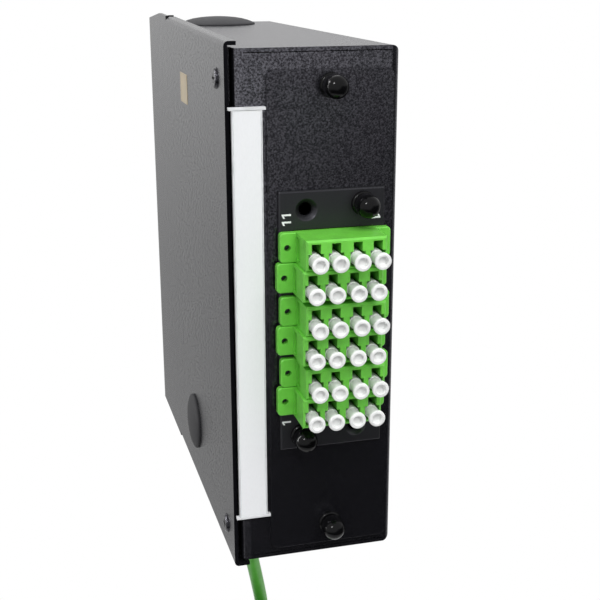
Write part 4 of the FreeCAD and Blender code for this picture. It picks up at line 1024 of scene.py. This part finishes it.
class FIBREBOX_OT_splice_tray(bpy.types.Operator):
    """Finishes the splice tray and lays its fibres"""

    bl_idname = "fibrebox.splice_tray"
    bl_label = "Splice tray"

    def execute(self, context):
        settings = context.scene.fibre_box
        tray = moulded("tray_plastic", (0.1, 0.1, 0.105), 0.4)
        shell = softened("splice_tray", 0.2 * MM)
        mesh_piece("tray_moulding", shell, tray, ["splice_tray"], even=True)
        clear = plain_material("clear_plastic", (0.9, 0.92, 0.93), 0.08, Transmission_Weight=0.85, IOR=1.49)
        paint(clear, "splice_lid", "splice_sleeves")
        paint(moulded("comb_plastic", settings.plastic.label, 0.4), "splice_holder")
        yellow = moulded("fibre_jacket", settings.cable.fibre, 0.35)
        paint(yellow, "buffer_tube")
        low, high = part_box("splice_tray")
        middle = (low.x + high.x) / 2 / MM
        radius = FIBRE_RADIUS * MM
        pigtails = self.pigtail_routes(middle)
        nurbs_tube("fibre_pigtails", pigtails, radius, yellow, ["pigtails"])
        loops = self.loop_routes(middle)
        nurbs_tube("stored_fibres", loops, radius, yellow, ["fibre_loops"], closed=True)
        return {"FINISHED"}

    def pigtail_routes(self, middle):
        """One fibre from each plug to its place in the tray's edge."""
        plug_end, bend, meeting, tray_edge = PIGTAIL_STATIONS
        routes = []
        for x, z in row_places():
            for index, port in enumerate(PORTS_X):
                end = z + PIGTAIL_SPACING * (index - 1.5)
                start = (x + port, plug_end, z - PORT_DROP)
                away = (start[0], bend, start[2])
                routes.append([start, away, (middle, meeting, end), (middle, tray_edge, end)])
        return routes

    def loop_routes(self, middle):
        """The stored laps, each inside the one before, in layers side by side."""
        low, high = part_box("fibre_loops")
        loops = []
        for layer in LOOP_LAYERS:
            for lap in range(LOOP_LAPS):
                inset = LOOP_INSET + lap * LOOP_STEP + (OUTER_LAYER_INSET if layer else 0)
                front = low.y / MM + inset
                back = high.y / MM - inset
                end = high.z / MM - inset
                side = end - LOOP_CORNER + lap
                across = (front + back) / 2
                x = middle + layer
                loop = [(x, front, side), (x, front, end), (x, across, end), (x, back, end), (x, back, side)]
                loop += [(x, y, -z) for x, y, z in reversed(loop)]
                loops.append(loop)
        return loops


def add_lamp(name, place, size, power):
    """A soft light of a width and height, aimed at the box."""
    light = bpy.data.lights.new(name, "AREA")
    light.shape = "RECTANGLE"
    light.size, light.size_y = size
    light.energy = power
    lamp = bpy.data.objects.new(name, light)
    aim = (Vector(LAMP_TARGET) - Vector(place)).to_track_quat("-Z", "Y")
    lamp.matrix_world = Matrix.Translation(place) @ aim.to_matrix().to_4x4()
    bpy.context.scene.collection.objects.link(lamp)
    return lamp


def add_ramp(tree, value, low, high, most=1.0):
    """Nothing below a value's low limit, rising to the most at its high limit."""
    ramp = tree.nodes.new("ShaderNodeMapRange")
    ramp.inputs["From Min"].default_value = low
    ramp.inputs["From Max"].default_value = high
    ramp.inputs["To Max"].default_value = most
    tree.links.new(value, ramp.inputs["Value"])
    return ramp.outputs[0]


def joined(tree, operation, first, second):
    """Two values joined by a sum of one kind."""
    node = tree.nodes.new("ShaderNodeMath")
    node.operation = operation
    tree.links.new(first, node.inputs[0])
    tree.links.new(second, node.inputs[1])
    return node.outputs[0]


def seen_directly(tree):
    """One where the ray is a camera, glossy or transmission ray."""
    path = tree.nodes.new("ShaderNodeLightPath")
    reflected = joined(tree, "MAXIMUM", path.outputs["Is Glossy Ray"], path.outputs["Is Transmission Ray"])
    return joined(tree, "MAXIMUM", path.outputs["Is Camera Ray"], reflected)


class FIBREBOX_OT_stage(bpy.types.Operator):
    """Sets the camera, the soft lights, the white room and the floor"""

    bl_idname = "fibrebox.stage"
    bl_label = "Stage"

    def execute(self, context):
        stage = context.scene.fibre_box.stage
        context.scene.view_settings.view_transform = "Standard"
        self.add_camera(context, stage)
        key = add_lamp("key_light", (0.1, -0.95, 1.15), (1.2, 1.2), stage.key)
        key.visible_glossy = False
        side = add_lamp("side_light", (-1.1, 0.28, 0.4), (0.25, 1.1), stage.side)
        side.visible_diffuse = False
        spark = add_lamp("spark_light", (-0.75, -1.0, 0.85), (0.22, 0.22), stage.spark)
        spark.visible_diffuse = False
        add_lamp("top_light", (0.1, 0.75, 0.9), (0.8, 0.8), stage.top)
        self.add_world(context, stage)
        self.add_floor(context, stage)
        return {"FINISHED"}

    def add_camera(self, context, stage):
        data = bpy.data.cameras.new("photo_camera")
        data.lens = stage.lens
        data.sensor_width = 36
        camera = bpy.data.objects.new("photo_camera", data)
        turn = Matrix((CAMERA_RIGHT, CAMERA_UP, CAMERA_BACK)).transposed().to_4x4()
        camera.matrix_world = Matrix.Translation(CAMERA_PLACE) @ turn
        context.scene.collection.objects.link(camera)
        context.scene.camera = camera

    def add_world(self, context, stage):
        world = bpy.data.worlds.new("white_room")
        world.use_nodes = True
        tree = world.node_tree
        tree.nodes.clear()
        light = tree.nodes.new("ShaderNodeBackground")
        light.inputs["Color"].default_value = (1, 1, 1, 1)
        light.inputs["Strength"].default_value = stage.sky
        white = tree.nodes.new("ShaderNodeBackground")
        white.inputs["Strength"].default_value = 1
        mix = tree.nodes.new("ShaderNodeMixShader")
        output = tree.nodes.new("ShaderNodeOutputWorld")
        tree.links.new(self.room_tone(tree), white.inputs["Color"])
        tree.links.new(seen_directly(tree), mix.inputs["Fac"])
        tree.links.new(light.outputs[0], mix.inputs[1])
        tree.links.new(white.outputs[0], mix.inputs[2])
        tree.links.new(mix.outputs[0], output.inputs["Surface"])
        context.scene.world = world

    def room_tone(self, tree):
        """White to the camera; in reflections white above and at the left, grey behind, dark low in front."""
        place = tree.nodes.new("ShaderNodeTexCoord")
        split = tree.nodes.new("ShaderNodeSeparateXYZ")
        tree.links.new(place.outputs["Generated"], split.inputs[0])
        slope = tree.nodes.new("ShaderNodeVectorMath")
        slope.operation = "DOT_PRODUCT"
        slope.inputs[1].default_value = (-1, -0.23, 1)
        tree.links.new(place.outputs["Generated"], slope.inputs[0])
        path = tree.nodes.new("ShaderNodeLightPath")
        left = add_ramp(tree, slope.outputs["Value"], -0.37, -0.07)
        raised = add_ramp(tree, split.outputs["Z"], -0.48, -0.2)
        behind = add_ramp(tree, split.outputs["Y"], -0.3, 0.3, 0.5)
        above = add_ramp(tree, split.outputs["Z"], 0.0, 0.15)
        tone = joined(tree, "MULTIPLY", left, raised)
        for other in (behind, above, path.outputs["Is Camera Ray"]):
            tone = joined(tree, "MAXIMUM", tone, other)
        return tone

    def add_floor(self, context, stage):
        shape = bmesh.new()
        centre = (*LAMP_TARGET[:2], stage.floor)
        bmesh.ops.create_circle(shape, cap_ends=True, segments=96, radius=FLOOR_RADIUS)
        bmesh.ops.translate(shape, vec=centre, verts=shape.verts)
        mesh = bpy.data.meshes.new("floor")
        shape.to_mesh(mesh)
        shape.free()
        material = plain_material("pale_floor", (0.86, 0.86, 0.86), 0.8)
        tree = material.node_tree
        glow = tree.nodes.new("ShaderNodeEmission")
        glow.inputs["Strength"].default_value = 1
        place = tree.nodes.new("ShaderNodeTexCoord")
        distance = tree.nodes.new("ShaderNodeVectorMath")
        distance.operation = "DISTANCE"
        distance.inputs[1].default_value = centre
        fade = tree.nodes.new("ShaderNodeMapRange")
        fade.interpolation_type = "SMOOTHSTEP"
        fade.inputs["From Min"].default_value = FLOOR_FADE[0]
        fade.inputs["From Max"].default_value = FLOOR_FADE[1]
        both = tree.nodes.new("ShaderNodeMixShader")
        tree.links.new(place.outputs["Object"], distance.inputs[0])
        tree.links.new(distance.outputs["Value"], fade.inputs["Value"])
        rim = joined(tree, "MULTIPLY", fade.outputs[0], seen_directly(tree))
        tree.links.new(rim, both.inputs["Fac"])
        tree.links.new(tree.nodes["Principled BSDF"].outputs[0], both.inputs[1])
        tree.links.new(glow.outputs[0], both.inputs[2])
        tree.links.new(both.outputs[0], tree.nodes["Material Output"].inputs["Surface"])
        mesh.materials.append(material)
        floor = bpy.data.objects.new("floor", mesh)
        context.scene.collection.objects.link(floor)


class FIBREBOX_PT_pieces(bpy.types.Panel):
    """Lists the fibre box's operators"""

    bl_idname = "FIBREBOX_PT_pieces"
    bl_label = "Fibre box"
    bl_space_type = "VIEW_3D"
    bl_region_type = "UI"
    bl_category = "Fibre box"

    def draw(self, context):
        for operator in OPERATORS:
            self.layout.operator(operator.bl_idname)


SETTINGS = (CoatSettings, PlasticSettings, CableSettings, StageSettings, FibreBoxSettings)
OPERATORS = (
    FIBREBOX_OT_stage,
    FIBREBOX_OT_cable,
    FIBREBOX_OT_sheet_metal,
    FIBREBOX_OT_panel_numbers,
    FIBREBOX_OT_blanking_plugs,
    FIBREBOX_OT_papers,
    FIBREBOX_OT_adapters,
    FIBREBOX_OT_dust_caps,
    FIBREBOX_OT_pull_knobs,
    FIBREBOX_OT_gland,
    FIBREBOX_OT_rail_clip,
    FIBREBOX_OT_splice_tray,
)


def register():
    for group in SETTINGS + OPERATORS + (FIBREBOX_PT_pieces,):
        bpy.utils.register_class(group)
    bpy.types.Scene.fibre_box = PointerProperty(type=FibreBoxSettings)


def unregister():
    del bpy.types.Scene.fibre_box
    for group in reversed(SETTINGS + OPERATORS + (FIBREBOX_PT_pieces,)):
        bpy.utils.unregister_class(group)


def main():
    register()
    bpy.ops.fibrebox.stage()
    bpy.ops.fibrebox.cable()
    bpy.ops.fibrebox.sheet_metal()
    bpy.ops.fibrebox.panel_numbers()
    bpy.ops.fibrebox.blanking_plugs()
    bpy.ops.fibrebox.papers()
    bpy.ops.fibrebox.adapters()
    bpy.ops.fibrebox.dust_caps()
    bpy.ops.fibrebox.pull_knobs()
    bpy.ops.fibrebox.gland()
    bpy.ops.fibrebox.rail_clip()
    bpy.ops.fibrebox.splice_tray()


if __name__ == "__main__":
    main()
